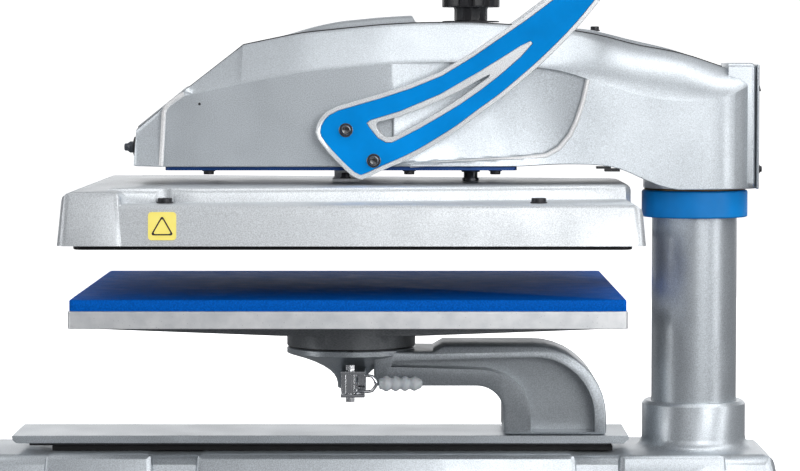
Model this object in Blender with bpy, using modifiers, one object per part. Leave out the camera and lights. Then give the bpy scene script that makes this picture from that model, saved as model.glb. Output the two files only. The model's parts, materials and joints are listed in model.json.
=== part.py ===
"""Swing-away heat press: clamshell head on a column, slide-out lower platen."""
import math

import bmesh
import bpy
from mathutils import Matrix, Vector

# Driving dimensions, in metres. +X points to the column, -X to the operator, +Z up.
GAP = 0.0003                      # clearance between touching pieces

PLATEN_LENGTH = 0.511
PLATEN_WIDTH = 0.408
PLATEN_X = -0.0122                # centre of the lower platen
PAD_LENGTH = 0.508
PAD_WIDTH = 0.406
PLATEN_BOTTOM = 0.2159
PLATEN_TOP = 0.2319
PAD_TOP = 0.2423

BASE_LENGTH = 0.808
BASE_HALF_WIDTH = 0.075           # at the top edge of the side panels
BASE_BOTTOM = 0.022
BASE_TOP = 0.0845
BASE_DRAFT = 0.018                # how much wider the base is at its bottom
PANEL_DEPTH = 0.006               # how far the side panels stand out
PANEL_SPANS = ((-0.3035, -0.201), (-0.159, 0.203), (0.244, 0.3454))

COLUMN_X = 0.3216
COLUMN_RADIUS = 0.0413
COLUMN_TOP = 0.4280
BOSS_RADIUS = 0.0503
BOSS_TOP = 0.1300
RING_RADIUS = 0.0515
RING_BOTTOM = 0.3088
RING_TOP = 0.3348

DRAWER_FRONT = -0.338
DRAWER_REAR = 0.255
DRAWER_HALF_WIDTH = 0.049
DRAWER_BOTTOM = 0.0925
DRAWER_TOP = 0.1000

ARM_HALF_WIDTH = 0.046
ARM_TOP = 0.1880
ARM_UNDER = 0.1476
ARM_NECK = 0.1808                 # top of the arm where it dips under the hub
ARM_OUTER_X = 0.1647              # centre of the outer bend
ARM_OUTER_RADIUS = 0.069
ARM_INNER_X = 0.109
ARM_INNER_RADIUS = 0.026
HUB_X = -0.0125
HUB_RADIUS = 0.0625
HUB_SPLIT = 0.1823                # top of the arm's head disc

COVER_X = -0.0086                 # centre of the heat platen cover
COVER_LENGTH = 0.5342
COVER_WIDTH = 0.444
COVER_BOTTOM = 0.2923
COVER_LEDGE = 0.3295
COVER_DECK = 0.3430
COVER_FRONT_TOP = 0.3410
COVER_WALL = 0.005
HEATER_X = -0.0078
HEATER_LENGTH = 0.510
HEATER_WIDTH = 0.406
HEATER_BOTTOM = 0.2880
HEATER_TOP = 0.3060

HEAD_WALL = 0.004
HEAD_BOTTOM = 0.3595
REAR_BOTTOM = 0.3368
SHAFT_X = -0.0026
SHAFT_Z = 0.3804
SHAFT_RADIUS = 0.011
CRANK_RADIUS = 0.034
CRANK_ANGLE = math.radians(160)
YOKE_X = -0.0186
YOKE_PIN_Z = 0.3545
HANDLE_OUTER_Y = 0.100
HANDLE_THICKNESS = 0.008
GRIP_X = 0.281
GRIP_Z = 0.636
ROD_X = 0.1038
ROD_RADIUS = 0.0068
KNOB_SEAT = 0.4985
LATCH_X = -0.0125
LATCH_Y = -0.056
LATCH_Z = 0.1510

ROUND = 32                        # sides of a large round piece
SMALL_ROUND = 16                  # sides of a small round piece

COLOURS = {
    "silver_paint": ((0.60, 0.62, 0.64), 0.38, 0.55),
    "steel": ((0.55, 0.56, 0.58), 0.32, 1.0),
    "chrome": ((0.80, 0.80, 0.82), 0.12, 1.0),
    "aluminium": ((0.72, 0.73, 0.75), 0.42, 1.0),
    "blue_anodised": ((0.00, 0.16, 0.52), 0.35, 0.4),
    "blue_inlay": ((0.00, 0.22, 0.65), 0.45, 0.0),
    "blue_silicone": ((0.00, 0.08, 0.42), 0.30, 0.0),
    "black_plastic": ((0.02, 0.02, 0.025), 0.40, 0.0),
    "grey_plastic": ((0.55, 0.57, 0.59), 0.40, 0.0),
    "black_steel": ((0.03, 0.03, 0.035), 0.35, 0.9),
    "grey_vinyl": ((0.40, 0.43, 0.46), 0.55, 0.0),
    "black_coating": ((0.03, 0.03, 0.032), 0.45, 0.3),
    "insulation": ((0.72, 0.70, 0.64), 0.90, 0.0),
    "rubber": ((0.03, 0.03, 0.03), 0.80, 0.0),
    "bronze": ((0.45, 0.32, 0.15), 0.40, 1.0),
    "glass": ((0.01, 0.012, 0.015), 0.08, 0.0),
    "circuit_green": ((0.01, 0.16, 0.06), 0.45, 0.0),
    "yellow_label": ((0.90, 0.66, 0.02), 0.45, 0.0),
    "heater_red": ((0.42, 0.10, 0.06), 0.60, 0.0),
}

PARTS = bpy.data.collections.new("heat_press")
CUTTERS = bpy.data.collections.new("cutters")


# ---------------------------------------------------------------- helpers

def clear_scene():
    for old in list(bpy.data.objects):
        bpy.data.objects.remove(old, do_unlink=True)
    bpy.context.scene.collection.children.link(PARTS)
    bpy.context.scene.collection.children.link(CUTTERS)


def material(name):
    made = bpy.data.materials.get(name)
    if made:
        return made
    colour, roughness, metallic = COLOURS[name]
    made = bpy.data.materials.new(name)
    made.use_nodes = True
    shader = made.node_tree.nodes["Principled BSDF"]
    shader.inputs["Base Color"].default_value = (*colour, 1.0)
    shader.inputs["Roughness"].default_value = roughness
    shader.inputs["Metallic"].default_value = metallic
    return made


def add(name, mesh, finish=None):
    """Link a mesh as a part, or as a cutter where it has no finish."""
    obj = bpy.data.objects.new(name, mesh)
    if finish:
        PARTS.objects.link(obj)
        mesh.materials.clear()
        mesh.materials.append(material(finish))
    else:
        CUTTERS.objects.link(obj)
        obj.hide_render = True
        obj.display_type = "WIRE"
    return obj


def mesh_from(name, bm):
    mesh = bpy.data.meshes.new(name)
    bm.normal_update()
    bm.to_mesh(mesh)
    bm.free()
    return mesh


def smooth(obj, angle=35):
    obj.data.shade_smooth()
    obj.data.set_sharp_from_angle(angle=math.radians(angle))
    return obj


def bevel(obj, width, segments=2, angle=35):
    mod = obj.modifiers.new("edges", "BEVEL")
    mod.width = width
    mod.segments = segments
    mod.limit_method = "ANGLE"
    mod.angle_limit = math.radians(angle)
    return obj


def boolean(obj, other, operation):
    mod = obj.modifiers.new(other.name, "BOOLEAN")
    mod.operation = operation
    mod.solver = "EXACT"
    mod.object = other
    return obj


def cut(obj, other):
    return boolean(obj, other, "DIFFERENCE")


def union(obj, other):
    return boolean(obj, other, "UNION")


def box(name, low, high, finish=None, round_by=0, segments=2):
    bm = bmesh.new()
    bmesh.ops.create_cube(bm, size=1.0)
    for vert in bm.verts:
        for axis in range(3):
            vert.co[axis] = high[axis] if vert.co[axis] > 0 else low[axis]
    obj = add(name, mesh_from(name, bm), finish)
    if round_by:
        bevel(obj, round_by, segments)
    return obj


def joined_boxes(name, spans, finish):
    """Overlapping boxes made one body."""
    first = box(name, *spans[0], finish)
    for i, (low, high) in enumerate(spans[1:]):
        union(first, box(f"{name}_shape_{i}", low, high))
    return first


def boxes(name, spans):
    """Several separate boxes in one cutter."""
    bm = bmesh.new()
    for low, high in spans:
        made = bmesh.ops.create_cube(bm, size=1.0)
        for vert in made["verts"]:
            for axis in range(3):
                vert.co[axis] = high[axis] if vert.co[axis] > 0 else low[axis]
    return add(name, mesh_from(name, bm))


def frustum(name, low, high, top_inset, finish=None):
    """A box whose top is smaller by top_inset (x, y) on every side."""
    obj = box(name, low, high, finish)
    middle = [(low[axis] + high[axis]) / 2 for axis in range(3)]
    for vert in obj.data.vertices:
        if vert.co.z > middle[2]:
            for axis in range(2):
                vert.co[axis] += top_inset[axis] * (-1 if vert.co[axis] > middle[axis] else 1)
    return obj


def round_upper_edges(obj, width, long_width, segments=3):
    """Round a frustum's corners and its two top ends by width, and its long top edges by long_width."""
    bm = bmesh.new()
    bm.from_mesh(obj.data)
    bottom = min(vert.co.z for vert in bm.verts)
    ends = [edge for edge in bm.edges if max(vert.co.z for vert in edge.verts) > bottom + GAP
            and abs(edge.verts[0].co.x - edge.verts[1].co.x) < 0.02]
    bmesh.ops.bevel(bm, geom=ends, offset=width, segments=segments, profile=0.5, affect="EDGES")
    top = max(vert.co.z for vert in bm.verts)
    sides = [edge for edge in bm.edges if min(vert.co.z for vert in edge.verts) > top - 0.0001
             and abs(edge.verts[0].co.x - edge.verts[1].co.x) > 0.02]
    bmesh.ops.bevel(bm, geom=sides, offset=long_width, segments=2, profile=0.5, affect="EDGES")
    bm.to_mesh(obj.data)
    bm.free()
    return obj


def rods(name, pieces, finish=None, sides=SMALL_ROUND):
    """Separate cylinders or cones in one object: (start, end, radius[, end radius])."""
    bm = bmesh.new()
    for piece in pieces:
        start = Vector(piece[0])
        along = Vector(piece[1]) - start
        turn = Vector((0, 0, 1)).rotation_difference(along).to_matrix().to_4x4()
        place = Matrix.Translation(start + along / 2) @ turn
        bmesh.ops.create_cone(bm, cap_ends=True, segments=sides, radius1=piece[2],
                              radius2=piece[-1], depth=along.length, matrix=place)
    return smooth(add(name, mesh_from(name, bm), finish))


def turned(name, profile, place, finish=None, steps=ROUND, closed=False, axis="Z"):
    """Turn a (radius, height) profile, outer side first from the top down."""
    mesh = bpy.data.meshes.new(name)
    count = len(profile)
    edges = [(i, i + 1) for i in range(count - 1)]
    if closed:
        edges.append((count - 1, 0))
    mesh.from_pydata([(radius, 0, height) for radius, height in profile], edges, [])
    obj = add(name, mesh, finish)
    obj.location = place
    if axis == "Y":
        obj.rotation_euler = (math.radians(90), 0, 0)
    if axis == "X":
        obj.rotation_euler = (0, math.radians(90), 0)
    mod = obj.modifiers.new("turn", "SCREW")
    mod.axis = "Z"
    mod.steps = steps
    mod.render_steps = steps
    mod.use_merge_vertices = True
    mod.merge_threshold = 0.00005
    mod.use_smooth_shade = True
    return obj


def ring_profile(inner, outer, low, high):
    return [(outer, high), (outer, low), (inner, low), (inner, high)]


def plate(name, outlines, y_low, y_high, finish=None):
    """Extrude closed outlines drawn in (x, z) across Y; later outlines are holes."""
    curve = bpy.data.curves.new(name, "CURVE")
    curve.dimensions = "2D"
    curve.fill_mode = "BOTH"
    curve.extrude = (y_high - y_low) / 2
    for outline in outlines:
        spline = curve.splines.new("POLY")
        spline.points.add(len(outline) - 1)
        for point, (x, z) in zip(spline.points, outline):
            point.co = (x, z, 0, 1)
        spline.use_cyclic_u = True
    return meshed(name, curve, Matrix.Translation((0, (y_low + y_high) / 2, 0))
                  @ Matrix.Rotation(math.radians(90), 4, "X"), finish)


def flat_plate(name, outlines, z_low, z_high, finish=None):
    """Extrude closed outlines drawn in (x, y) upwards; later outlines are holes."""
    curve = bpy.data.curves.new(name, "CURVE")
    curve.dimensions = "2D"
    curve.fill_mode = "BOTH"
    curve.extrude = (z_high - z_low) / 2
    for outline in outlines:
        spline = curve.splines.new("POLY")
        spline.points.add(len(outline) - 1)
        for point, (x, y) in zip(spline.points, outline):
            point.co = (x, y, 0, 1)
        spline.use_cyclic_u = True
    return meshed(name, curve, Matrix.Translation((0, 0, (z_low + z_high) / 2)), finish)


def wire(name, points, radius, finish, resolution=3):
    """A round bar along a list of points."""
    curve = bpy.data.curves.new(name, "CURVE")
    curve.dimensions = "3D"
    curve.bevel_depth = radius
    curve.bevel_resolution = resolution
    curve.use_fill_caps = True
    spline = curve.splines.new("POLY")
    spline.points.add(len(points) - 1)
    for point, place in zip(spline.points, points):
        point.co = (*place, 1)
    return smooth(meshed(name, curve, Matrix.Identity(4), finish))


def meshed(name, curve, place, finish):
    """Turn a curve into a welded mesh object at its place."""
    guide = bpy.data.objects.new(name + "_curve", curve)
    PARTS.objects.link(guide)
    bpy.context.view_layer.update()
    graph = bpy.context.evaluated_depsgraph_get()
    mesh = bpy.data.meshes.new_from_object(guide.evaluated_get(graph))
    bm = bmesh.new()
    bm.from_mesh(mesh)
    bmesh.ops.remove_doubles(bm, verts=bm.verts, dist=0.00001)
    bmesh.ops.recalc_face_normals(bm, faces=bm.faces)
    bm.transform(place)
    bm.to_mesh(mesh)
    bm.free()
    bpy.data.objects.remove(guide, do_unlink=True)
    return add(name, mesh, finish)


def arc(centre, radius, start, end, count):
    """Points on an arc, in degrees from +X towards +Z or +Y."""
    points = []
    for i in range(count + 1):
        angle = math.radians(start + (end - start) * i / count)
        points.append((centre[0] + radius * math.cos(angle), centre[1] + radius * math.sin(angle)))
    return points


def rounded_rectangle(low, high, radius, count=4):
    points = []
    left, right = low[0] + radius, high[0] - radius
    near, far = low[1] + radius, high[1] - radius
    for x, y, start in ((right, far, 0), (left, far, 90), (left, near, 180), (right, near, 270)):
        points += arc((x, y), radius, start, start + 90, count)
    return points


def circle(centre, radius, count=SMALL_ROUND):
    return arc(centre, radius, 0, 360, count)[:-1]


def smooth_line(points, steps):
    """Catmull-Rom curve through the points, both ends included."""
    ends = [points[0], *points, points[-1]]
    line = []
    for i in range(1, len(ends) - 2):
        before, here, after, later = (Vector(p) for p in ends[i - 1:i + 3])
        for step in range(steps):
            t = step / steps
            line.append(tuple(0.5 * (2 * here + (after - before) * t
                                     + (2 * before - 5 * here + 4 * after - later) * t ** 2
                                     + (3 * here - before - 3 * after + later) * t ** 3)))
    line.append(tuple(points[-1]))
    return line


def inset(outline, distance):
    """Move a closed outline inwards; a negative distance moves it outwards."""
    count = len(outline)
    area = sum(outline[i - 1][0] * outline[i][1] - outline[i][0] * outline[i - 1][1]
               for i in range(count))
    turn = 1 if area > 0 else -1
    moved = []
    for i in range(count):
        before, here, after = (Vector(outline[j % count]) for j in (i - 1, i, i + 1))
        normals = []
        for along in ((here - before).normalized(), (after - here).normalized()):
            normals.append(Vector((-along.y, along.x)) * turn)
        middle = (normals[0] + normals[1]).normalized()
        reach = distance / max(0.5, middle.dot(normals[0]))
        moved.append(tuple(here + middle * reach))
    return moved


def rounded_slab(name, outline, z_low, z_high, radius, steps=3):
    """A slab on an (x, y) outline whose upper edge is rounded."""
    sections = [[(x, y, z_low) for x, y in outline]]
    for i in range(steps + 1):
        angle = math.radians(90 * i / steps)
        level = z_high - radius + radius * math.sin(angle)
        sections.append([(x, y, level) for x, y in inset(outline, radius * (1 - math.cos(angle)))])
    return loft(name, sections)


def loft(name, sections, finish=None):
    """Skin between closed sections of equal count, with flat ends."""
    bm = bmesh.new()
    rings = [[bm.verts.new(point) for point in section] for section in sections]
    count = len(sections[0])
    for ring, after in zip(rings, rings[1:]):
        for i in range(count):
            following = (i + 1) % count
            bm.faces.new((ring[i], ring[following], after[following], after[i]))
    bm.faces.new(rings[0])
    bm.faces.new(rings[-1])
    bmesh.ops.recalc_face_normals(bm, faces=bm.faces)
    return add(name, mesh_from(name, bm), finish)


# ---------------------------------------------------------------- base and column

def make_base():
    half = BASE_LENGTH / 2
    side = BASE_HALF_WIDTH - PANEL_DEPTH
    core_top = BASE_TOP - 0.001
    base = frustum("base_casting", (-half, -side - BASE_DRAFT, BASE_BOTTOM),
                   (half, side + BASE_DRAFT, core_top), (0.012, BASE_DRAFT), "silver_paint")
    round_upper_edges(base, 0.009, 0.009)
    panel_bottom = BASE_BOTTOM + 0.010
    spread = BASE_DRAFT * (BASE_TOP - panel_bottom) / (BASE_TOP - BASE_BOTTOM)
    for i, (start, end) in enumerate(PANEL_SPANS):
        wide = BASE_HALF_WIDTH + spread
        panel = frustum(f"panel_shape_{i}", (start - 0.003, -wide, panel_bottom),
                        (end + 0.003, wide, BASE_TOP), (0.003, spread))
        union(base, round_upper_edges(panel, 0.006, 0.004, 2))
    cell = 0.066
    pitch = 0.074
    cells = []
    for side_sign in (-1, 1):
        y_low, y_high = sorted((side_sign * 0.004, side_sign * 0.060))
        for i in range(7):
            start = -0.260 + i * pitch
            cells.append(((start, y_low, 0), (start + cell, y_high, 0.070)))
        cells.append(((-0.386, y_low, 0), (-0.334, y_high, 0.070)))
    cut(base, boxes("pocket_shapes", cells))
    slots = [((x - 0.0256, -0.2, 0), (x + 0.0256, 0.2, 0.0463)) for x in FOOT_X]
    cut(base, boxes("slot_shapes", slots))
    fillet = arc((BOSS_RADIUS + 0.012, 0.0955), 0.012, 180, 270, 4)
    boss = turned("boss_shape", [(0, BOSS_TOP), (BOSS_RADIUS - 0.003, BOSS_TOP),
                                 (BOSS_RADIUS, BOSS_TOP - 0.003), *fillet,
                                 (fillet[-1][0], 0.070), (0, 0.070)], (COLUMN_X, 0, 0))
    union(base, boss)
    bore = rods("bore_shape", [((COLUMN_X, 0, 0.056), (COLUMN_X, 0, 0.2), COLUMN_RADIUS + 0.0005)],
                sides=ROUND)
    cut(base, bore)
    smooth(base, 40)


FOOT_X = (-0.300, 0.300)
FOOT_REACH = 0.232
FOOT_PAD = 0.016


def make_feet():
    for end, x in zip(("front", "rear"), FOOT_X):
        box(f"{end}_cross_foot", (x - 0.025, -FOOT_REACH, FOOT_PAD), (x + 0.025, FOOT_REACH, 0.046),
            "silver_paint", 0.004, 2)
        box(f"{end}_foot_pad", (x - 0.020, -FOOT_REACH + 0.006, 0),
            (x + 0.020, FOOT_REACH - 0.006, FOOT_PAD - GAP), "rubber", 0.002, 1)


def make_column():
    place = (COLUMN_X, 0, 0)
    inner = COLUMN_RADIUS - 0.006
    turned("column_tube", ring_profile(inner, COLUMN_RADIUS, 0.0563, COLUMN_TOP), place,
           "silver_paint", closed=True)
    turned("column_cap", [(0, COLUMN_TOP + 0.0035), (0.039, COLUMN_TOP + 0.0035),
                          (COLUMN_RADIUS - 0.0005, COLUMN_TOP + 0.002),
                          (COLUMN_RADIUS - 0.0005, COLUMN_TOP + GAP), (inner - 0.001, COLUMN_TOP + GAP),
                          (inner - 0.001, COLUMN_TOP - 0.010), (0, COLUMN_TOP - 0.010)],
           place, "black_plastic")
    bore = COLUMN_RADIUS + 0.0004
    turned("swing_ring", [(RING_RADIUS - 0.0012, RING_TOP), (RING_RADIUS, RING_TOP - 0.0012),
                          (RING_RADIUS, RING_BOTTOM + 0.0012), (RING_RADIUS - 0.0012, RING_BOTTOM),
                          (bore, RING_BOTTOM), (bore, RING_TOP)],
           place, "blue_anodised", closed=True)
    turned("thrust_washer", ring_profile(bore, 0.0490, RING_TOP + GAP, REAR_BOTTOM - 0.0003), place,
           "bronze", closed=True)


# ---------------------------------------------------------------- drawer and arm

def make_drawer():
    sides = ((0.022, 0.042), (-0.042, -0.022))
    bars = [((-0.300, low, BASE_TOP + GAP), (0.240, high, 0.0893)) for low, high in sides]
    ties = [((x, -0.030, BASE_TOP + GAP), (x + 0.030, 0.030, 0.0870)) for x in (-0.250, 0.190)]
    smooth(joined_boxes("slide_rails", bars + ties, "steel"))
    glide_top = DRAWER_BOTTOM - GAP
    strips = [((-0.322, low, 0.0897), (0.236, high, glide_top)) for low, high in sides]
    bridges = [((x, -0.030, 0.0905), (x + 0.030, 0.030, glide_top)) for x in (-0.300, 0.180)]
    joined_boxes("glide_strips", strips + bridges, "black_plastic")
    nose = 0.006
    outline = [(DRAWER_REAR, DRAWER_TOP), (DRAWER_FRONT, DRAWER_TOP),
               (DRAWER_FRONT, DRAWER_BOTTOM + nose)]
    outline += arc((DRAWER_FRONT + nose, DRAWER_BOTTOM + nose), nose, 180, 270, 4)[1:]
    outline += [(DRAWER_REAR - 0.005, DRAWER_BOTTOM), (DRAWER_REAR, DRAWER_BOTTOM + 0.004)]
    drawer = plate("drawer_plate", [outline], -DRAWER_HALF_WIDTH, DRAWER_HALF_WIDTH, "silver_paint")
    bevel(drawer, 0.0008, 1, 50)


def make_arm():
    foot = DRAWER_TOP + GAP
    outer_z = ARM_TOP - 0.0015 - ARM_OUTER_RADIUS
    inner_z = ARM_UNDER - ARM_INNER_RADIUS
    bend = 10
    outer = [(ARM_OUTER_X + ARM_OUTER_RADIUS, foot)]
    outer += arc((ARM_OUTER_X, outer_z), ARM_OUTER_RADIUS, 0, 90, bend)
    outer += [(0.0770, ARM_TOP - 0.0015), (0.0670, ARM_NECK), (0.010, ARM_NECK)]
    inner = [(ARM_INNER_X + ARM_INNER_RADIUS, foot)]
    inner += arc((ARM_INNER_X, inner_z), ARM_INNER_RADIUS, 0, 90, bend)
    inner += [(0.0770, ARM_UNDER), (0.0670, ARM_UNDER), (0.010, ARM_UNDER)]
    arm = band("pedestal_arm", outer, inner, -ARM_HALF_WIDTH, ARM_HALF_WIDTH, "silver_paint")
    bevel(arm, 0.003, 2, 50)
    rim = 0.011
    outer = [(ARM_OUTER_X + ARM_OUTER_RADIUS - rim, 0.1030)]
    outer += [*arc((ARM_OUTER_X, outer_z), ARM_OUTER_RADIUS - rim, 0, 90, bend), (0.030, 0.172)]
    inner = [(0.161, 0.1030)]
    for i in range(bend + 1):
        angle = math.radians(90 * i / bend)
        inner.append((ARM_INNER_X + 0.052 * math.cos(angle), inner_z + 0.042 * math.sin(angle)))
    inner.append((0.026, 0.166))
    depth = 0.028
    for sign in (-1, 1):
        levels = sorted((sign * (ARM_HALF_WIDTH - depth), sign * (ARM_HALF_WIDTH + 0.01)))
        cut(arm, band(f"arm_pocket_{sign}", outer, inner, *levels))
    flare = []
    for i in range(9):
        t = i / 8
        flare.append((0.013 + 0.0475 * (1 - t) ** 2.6, 0.1757 - 0.0337 * t))
    bell = turned("bell_shape", [(0, HUB_SPLIT), (HUB_RADIUS - 0.001, HUB_SPLIT),
                                 (HUB_RADIUS, HUB_SPLIT - 0.001), (HUB_RADIUS, 0.1767), *flare,
                                 (0.011, 0.141), (0, 0.141)], (HUB_X, 0, 0))
    union(arm, bell)
    union(arm, box("latch_lug_shape", (-0.022, -0.0297, 0.1405), (0.002, 0.002, 0.1625)))
    cut(arm, rods("spigot_bore_shape", [((HUB_X, 0, 0.1525), (HUB_X, 0, 0.2), 0.0124)], sides=24))
    smooth(arm, 40)


def make_latch():
    back = -0.0300
    front = -0.0665
    bracket = box("latch_bracket", (-0.0215, front, 0.1385), (0.0015, back, 0.1635), "chrome")
    cut(bracket, box("bracket_gap_shape", (-0.03, front - 0.01, 0.1415), (0.01, back - 0.004, 0.1605)))
    cut(bracket, rods("bracket_hole_shape", [((LATCH_X, LATCH_Y, 0.12),
                                              (LATCH_X, LATCH_Y, 0.18), 0.0029)]))
    centre = LATCH_Y
    pivot = rods("latch_pivot_bolt", [((LATCH_X, centre, 0.1350), (LATCH_X, centre, 0.1680), 0.0025)],
                 "chrome")
    union(pivot, rods("pivot_top_shape", [((LATCH_X, centre, 0.1640), (LATCH_X, centre, 0.1690), 0.0048)],
                      sides=6))
    union(pivot, rods("pivot_nut_shape", [((LATCH_X, centre, 0.1335), (LATCH_X, centre, 0.1380), 0.0048)],
                      sides=6))
    lever = turned("latch_lever", ring_profile(0.0030, 0.0075, 0.1420, 0.1600), (LATCH_X, centre, 0),
                   "chrome", 16, closed=True)
    for sign in (-1, 1):
        middle = LATCH_Z
        points = [(LATCH_X + 0.004, centre, middle + sign * 0.0072),
                  (0.0040, centre, middle + sign * 0.0078), (0.0085, centre, middle + sign * 0.0070),
                  (0.0115, centre, middle + sign * 0.0030), (0.0128, centre, middle + sign * 0.0004)]
        union(lever, wire(f"bail_shape_{sign}", points, 0.0016, None, 2))
    length = 0.0420
    bumps = 4
    profile = [(0, length)]
    steps = 16
    for i in range(steps + 1):
        t = 1 - i / steps
        swell = 0.5 + 0.5 * math.cos(2 * math.pi * (t * bumps - 0.5))
        profile.append((0.0055 + 0.0022 * swell, 0.0005 + t * (length - 0.001)))
    profile.append((0, 0))
    turned("latch_grip", profile, (0.0150, centre, LATCH_Z), "grey_vinyl", 12, axis="X")


# ---------------------------------------------------------------- lower platen

def make_lower_platen():
    low = (PLATEN_X - PLATEN_LENGTH / 2, -PLATEN_WIDTH / 2)
    high = (PLATEN_X + PLATEN_LENGTH / 2, PLATEN_WIDTH / 2)
    platen = flat_plate("lower_platen", [rounded_rectangle(low, high, 0.005)],
                        PLATEN_BOTTOM, PLATEN_TOP, "aluminium")
    bevel(platen, 0.001, 1, 50)
    root = PLATEN_BOTTOM + 0.004
    toe = PLATEN_BOTTOM - 0.0015
    for i, y in enumerate((-0.052, 0.052)):
        rib = [(low[0] + 0.011, root), (low[0] + 0.011, 0.2035), (HUB_X - 0.066, 0.1968),
               (HUB_X + 0.066, 0.1968), (high[0] - 0.011, 0.2035), (high[0] - 0.011, root)]
        union(platen, plate(f"rib_shape_{i}", [rib], y - 0.005, y + 0.005))
    for i, x in enumerate((HUB_X - 0.052, HUB_X + 0.052)):
        reach = PLATEN_WIDTH / 2 - 0.010
        rib = [(-reach, root), (-reach, toe), (-0.08, 0.2053),
               (0.08, 0.2053), (reach, toe), (reach, root)]
        cross = plate(f"cross_rib_shape_{i}", [rib], -0.005, 0.005)
        cross.rotation_euler = (0, 0, math.radians(90))
        cross.location = (x, 0, 0)
        union(platen, cross)
    split = HUB_SPLIT + 0.0015
    hub_top = root - 0.0007
    hub = turned("hub_shape", [(0, hub_top), (HUB_RADIUS, hub_top), (HUB_RADIUS, split),
                               (0.0120, split), (0.0120, 0.1540), (0, 0.1540)], (HUB_X, 0, 0))
    union(platen, hub)
    smooth(platen, 40)
    key = turned("hub_key_disc", ring_profile(0.0126, 0.0600, HUB_SPLIT + GAP, HUB_SPLIT + 0.0012),
                 (HUB_X, 0, 0), "black_steel", closed=True)
    union(key, box("key_tab_shape", (HUB_X - 0.003, -HUB_RADIUS - 0.0015, HUB_SPLIT + GAP),
                   (HUB_X + 0.003, -0.058, HUB_SPLIT + 0.0012)))
    pad_low = (PLATEN_X - PAD_LENGTH / 2, -PAD_WIDTH / 2)
    pad_high = (PLATEN_X + PAD_LENGTH / 2, PAD_WIDTH / 2)
    flat_plate("silicone_pad", [rounded_rectangle(pad_low, pad_high, 0.004, 2)],
               PLATEN_TOP + GAP, PAD_TOP, "blue_silicone")


# ---------------------------------------------------------------- heat platen

def make_heat_platen():
    low = (HEATER_X - HEATER_LENGTH / 2, -HEATER_WIDTH / 2)
    high = (HEATER_X + HEATER_LENGTH / 2, HEATER_WIDTH / 2)
    heater = flat_plate("heat_platen", [rounded_rectangle(low, high, 0.010)],
                        HEATER_BOTTOM, HEATER_TOP, "black_coating")
    bevel(heater, 0.0012, 1, 50)
    rows = 5
    loop = []
    for i in range(rows):
        y = -0.150 + i * 0.075
        ends = (low[0] + 0.05, high[0] - 0.05)
        for x in (ends if i % 2 == 0 else ends[::-1]):
            loop.append((x, y, HEATER_TOP + 0.0045))
    wire("heating_element", loop, 0.0040, "heater_red", 1)
    box("insulation_blanket", (low[0] + 0.03, low[1] + 0.02, 0.3152),
        (high[0] - 0.03, high[1] - 0.02, 0.3235), "insulation")


def make_cover():
    half_x = COVER_LENGTH / 2
    half_y = COVER_WIDTH / 2
    front = COVER_X - half_x
    cover = frustum("platen_cover", (front + 0.001, -half_y + 0.0015, COVER_BOTTOM),
                    (COVER_X + half_x, half_y - 0.0015, COVER_LEDGE), (0.0035, 0.0035), "silver_paint")
    round_upper_edges(cover, 0.009, 0.003)
    block = frustum("front_block_shape", (front, -half_y, COVER_BOTTOM + 0.0002),
                    (-0.212, half_y, COVER_FRONT_TOP), (0.0045, 0.0045))
    union(cover, round_upper_edges(block, 0.009, 0.004))
    deck = [(-0.235, 0.172), (-0.150, 0.169), (0.225, 0.092), (0.249, 0.084), (0.2545, 0.070)]
    outline = deck + [(x, -y) for x, y in reversed(deck)]
    union(cover, rounded_slab("deck_shape", outline, COVER_LEDGE - 0.006, COVER_DECK, 0.006))
    bays = [((x, sign * SCREW_Y, COVER_LEDGE + 0.0002), (x, sign * SCREW_Y, COVER_DECK + 0.01), 0.012)
            for x in SCREW_X for sign in (-1, 1)]
    cut(cover, rods("screw_bay_shapes", bays, sides=16))
    wall = COVER_WALL
    hollow = frustum("cover_hollow_shape", (front + wall, -half_y + wall + 0.0015, COVER_BOTTOM - 0.01),
                     (COVER_X + half_x - wall, half_y - wall - 0.0015, COVER_LEDGE - wall),
                     (0.0035, 0.0035))
    cut(cover, hollow)
    smooth(cover, 40)
    size = 0.0255
    square = rounded_rectangle((-size / 2, -size / 2), (size / 2, size / 2), 0.003, 3)
    label = plate("warning_label", [square], -0.0002, 0.0002, "yellow_label")
    label.rotation_euler = (math.atan2(-0.0035, COVER_LEDGE - COVER_BOTTOM), 0, 0)
    middle = 0.3106
    slope = 0.0035 * (middle - COVER_BOTTOM) / (COVER_LEDGE - COVER_BOTTOM)
    label.location = (-0.1796, -half_y + 0.0015 + slope - 0.0006, middle)


SCREW_X = (-0.180, 0.1625)
SCREW_Y = 0.178


def make_yoke():
    deck = COVER_DECK + GAP
    yoke = box("press_yoke", (-0.0300, -0.026, deck), (-0.0050, 0.026, deck + 0.0032), "steel")
    for i, sign in enumerate((-1, 1)):
        outline = [(-0.0285, deck + 0.001), (-0.0285, YOKE_PIN_Z)]
        outline += arc((YOKE_X, YOKE_PIN_Z), 0.0099, 180, 0, 8)[1:]
        outline += [(-0.0087, deck + 0.001)]
        low, high = sorted((sign * 0.0062, sign * 0.0105))
        union(yoke, plate(f"yoke_ear_{i}", [outline], low, high))
    union(yoke, rods("yoke_pin_shape", [((YOKE_X, -0.0125, YOKE_PIN_Z),
                                         (YOKE_X, 0.0125, YOKE_PIN_Z), 0.0040)]))
    smooth(yoke, 40)
    turned("guide_rod", [(0, 0.4150), (ROD_RADIUS - 0.0008, 0.4150), (ROD_RADIUS, 0.4142),
                         (ROD_RADIUS, deck + 0.0030), (0.0082, deck + 0.0030), (0.0082, deck), (0, deck)],
           (ROD_X, 0, 0), "chrome", 24)


def crank_pin():
    return (SHAFT_X + CRANK_RADIUS * math.cos(CRANK_ANGLE),
            SHAFT_Z + CRANK_RADIUS * math.sin(CRANK_ANGLE))


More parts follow.
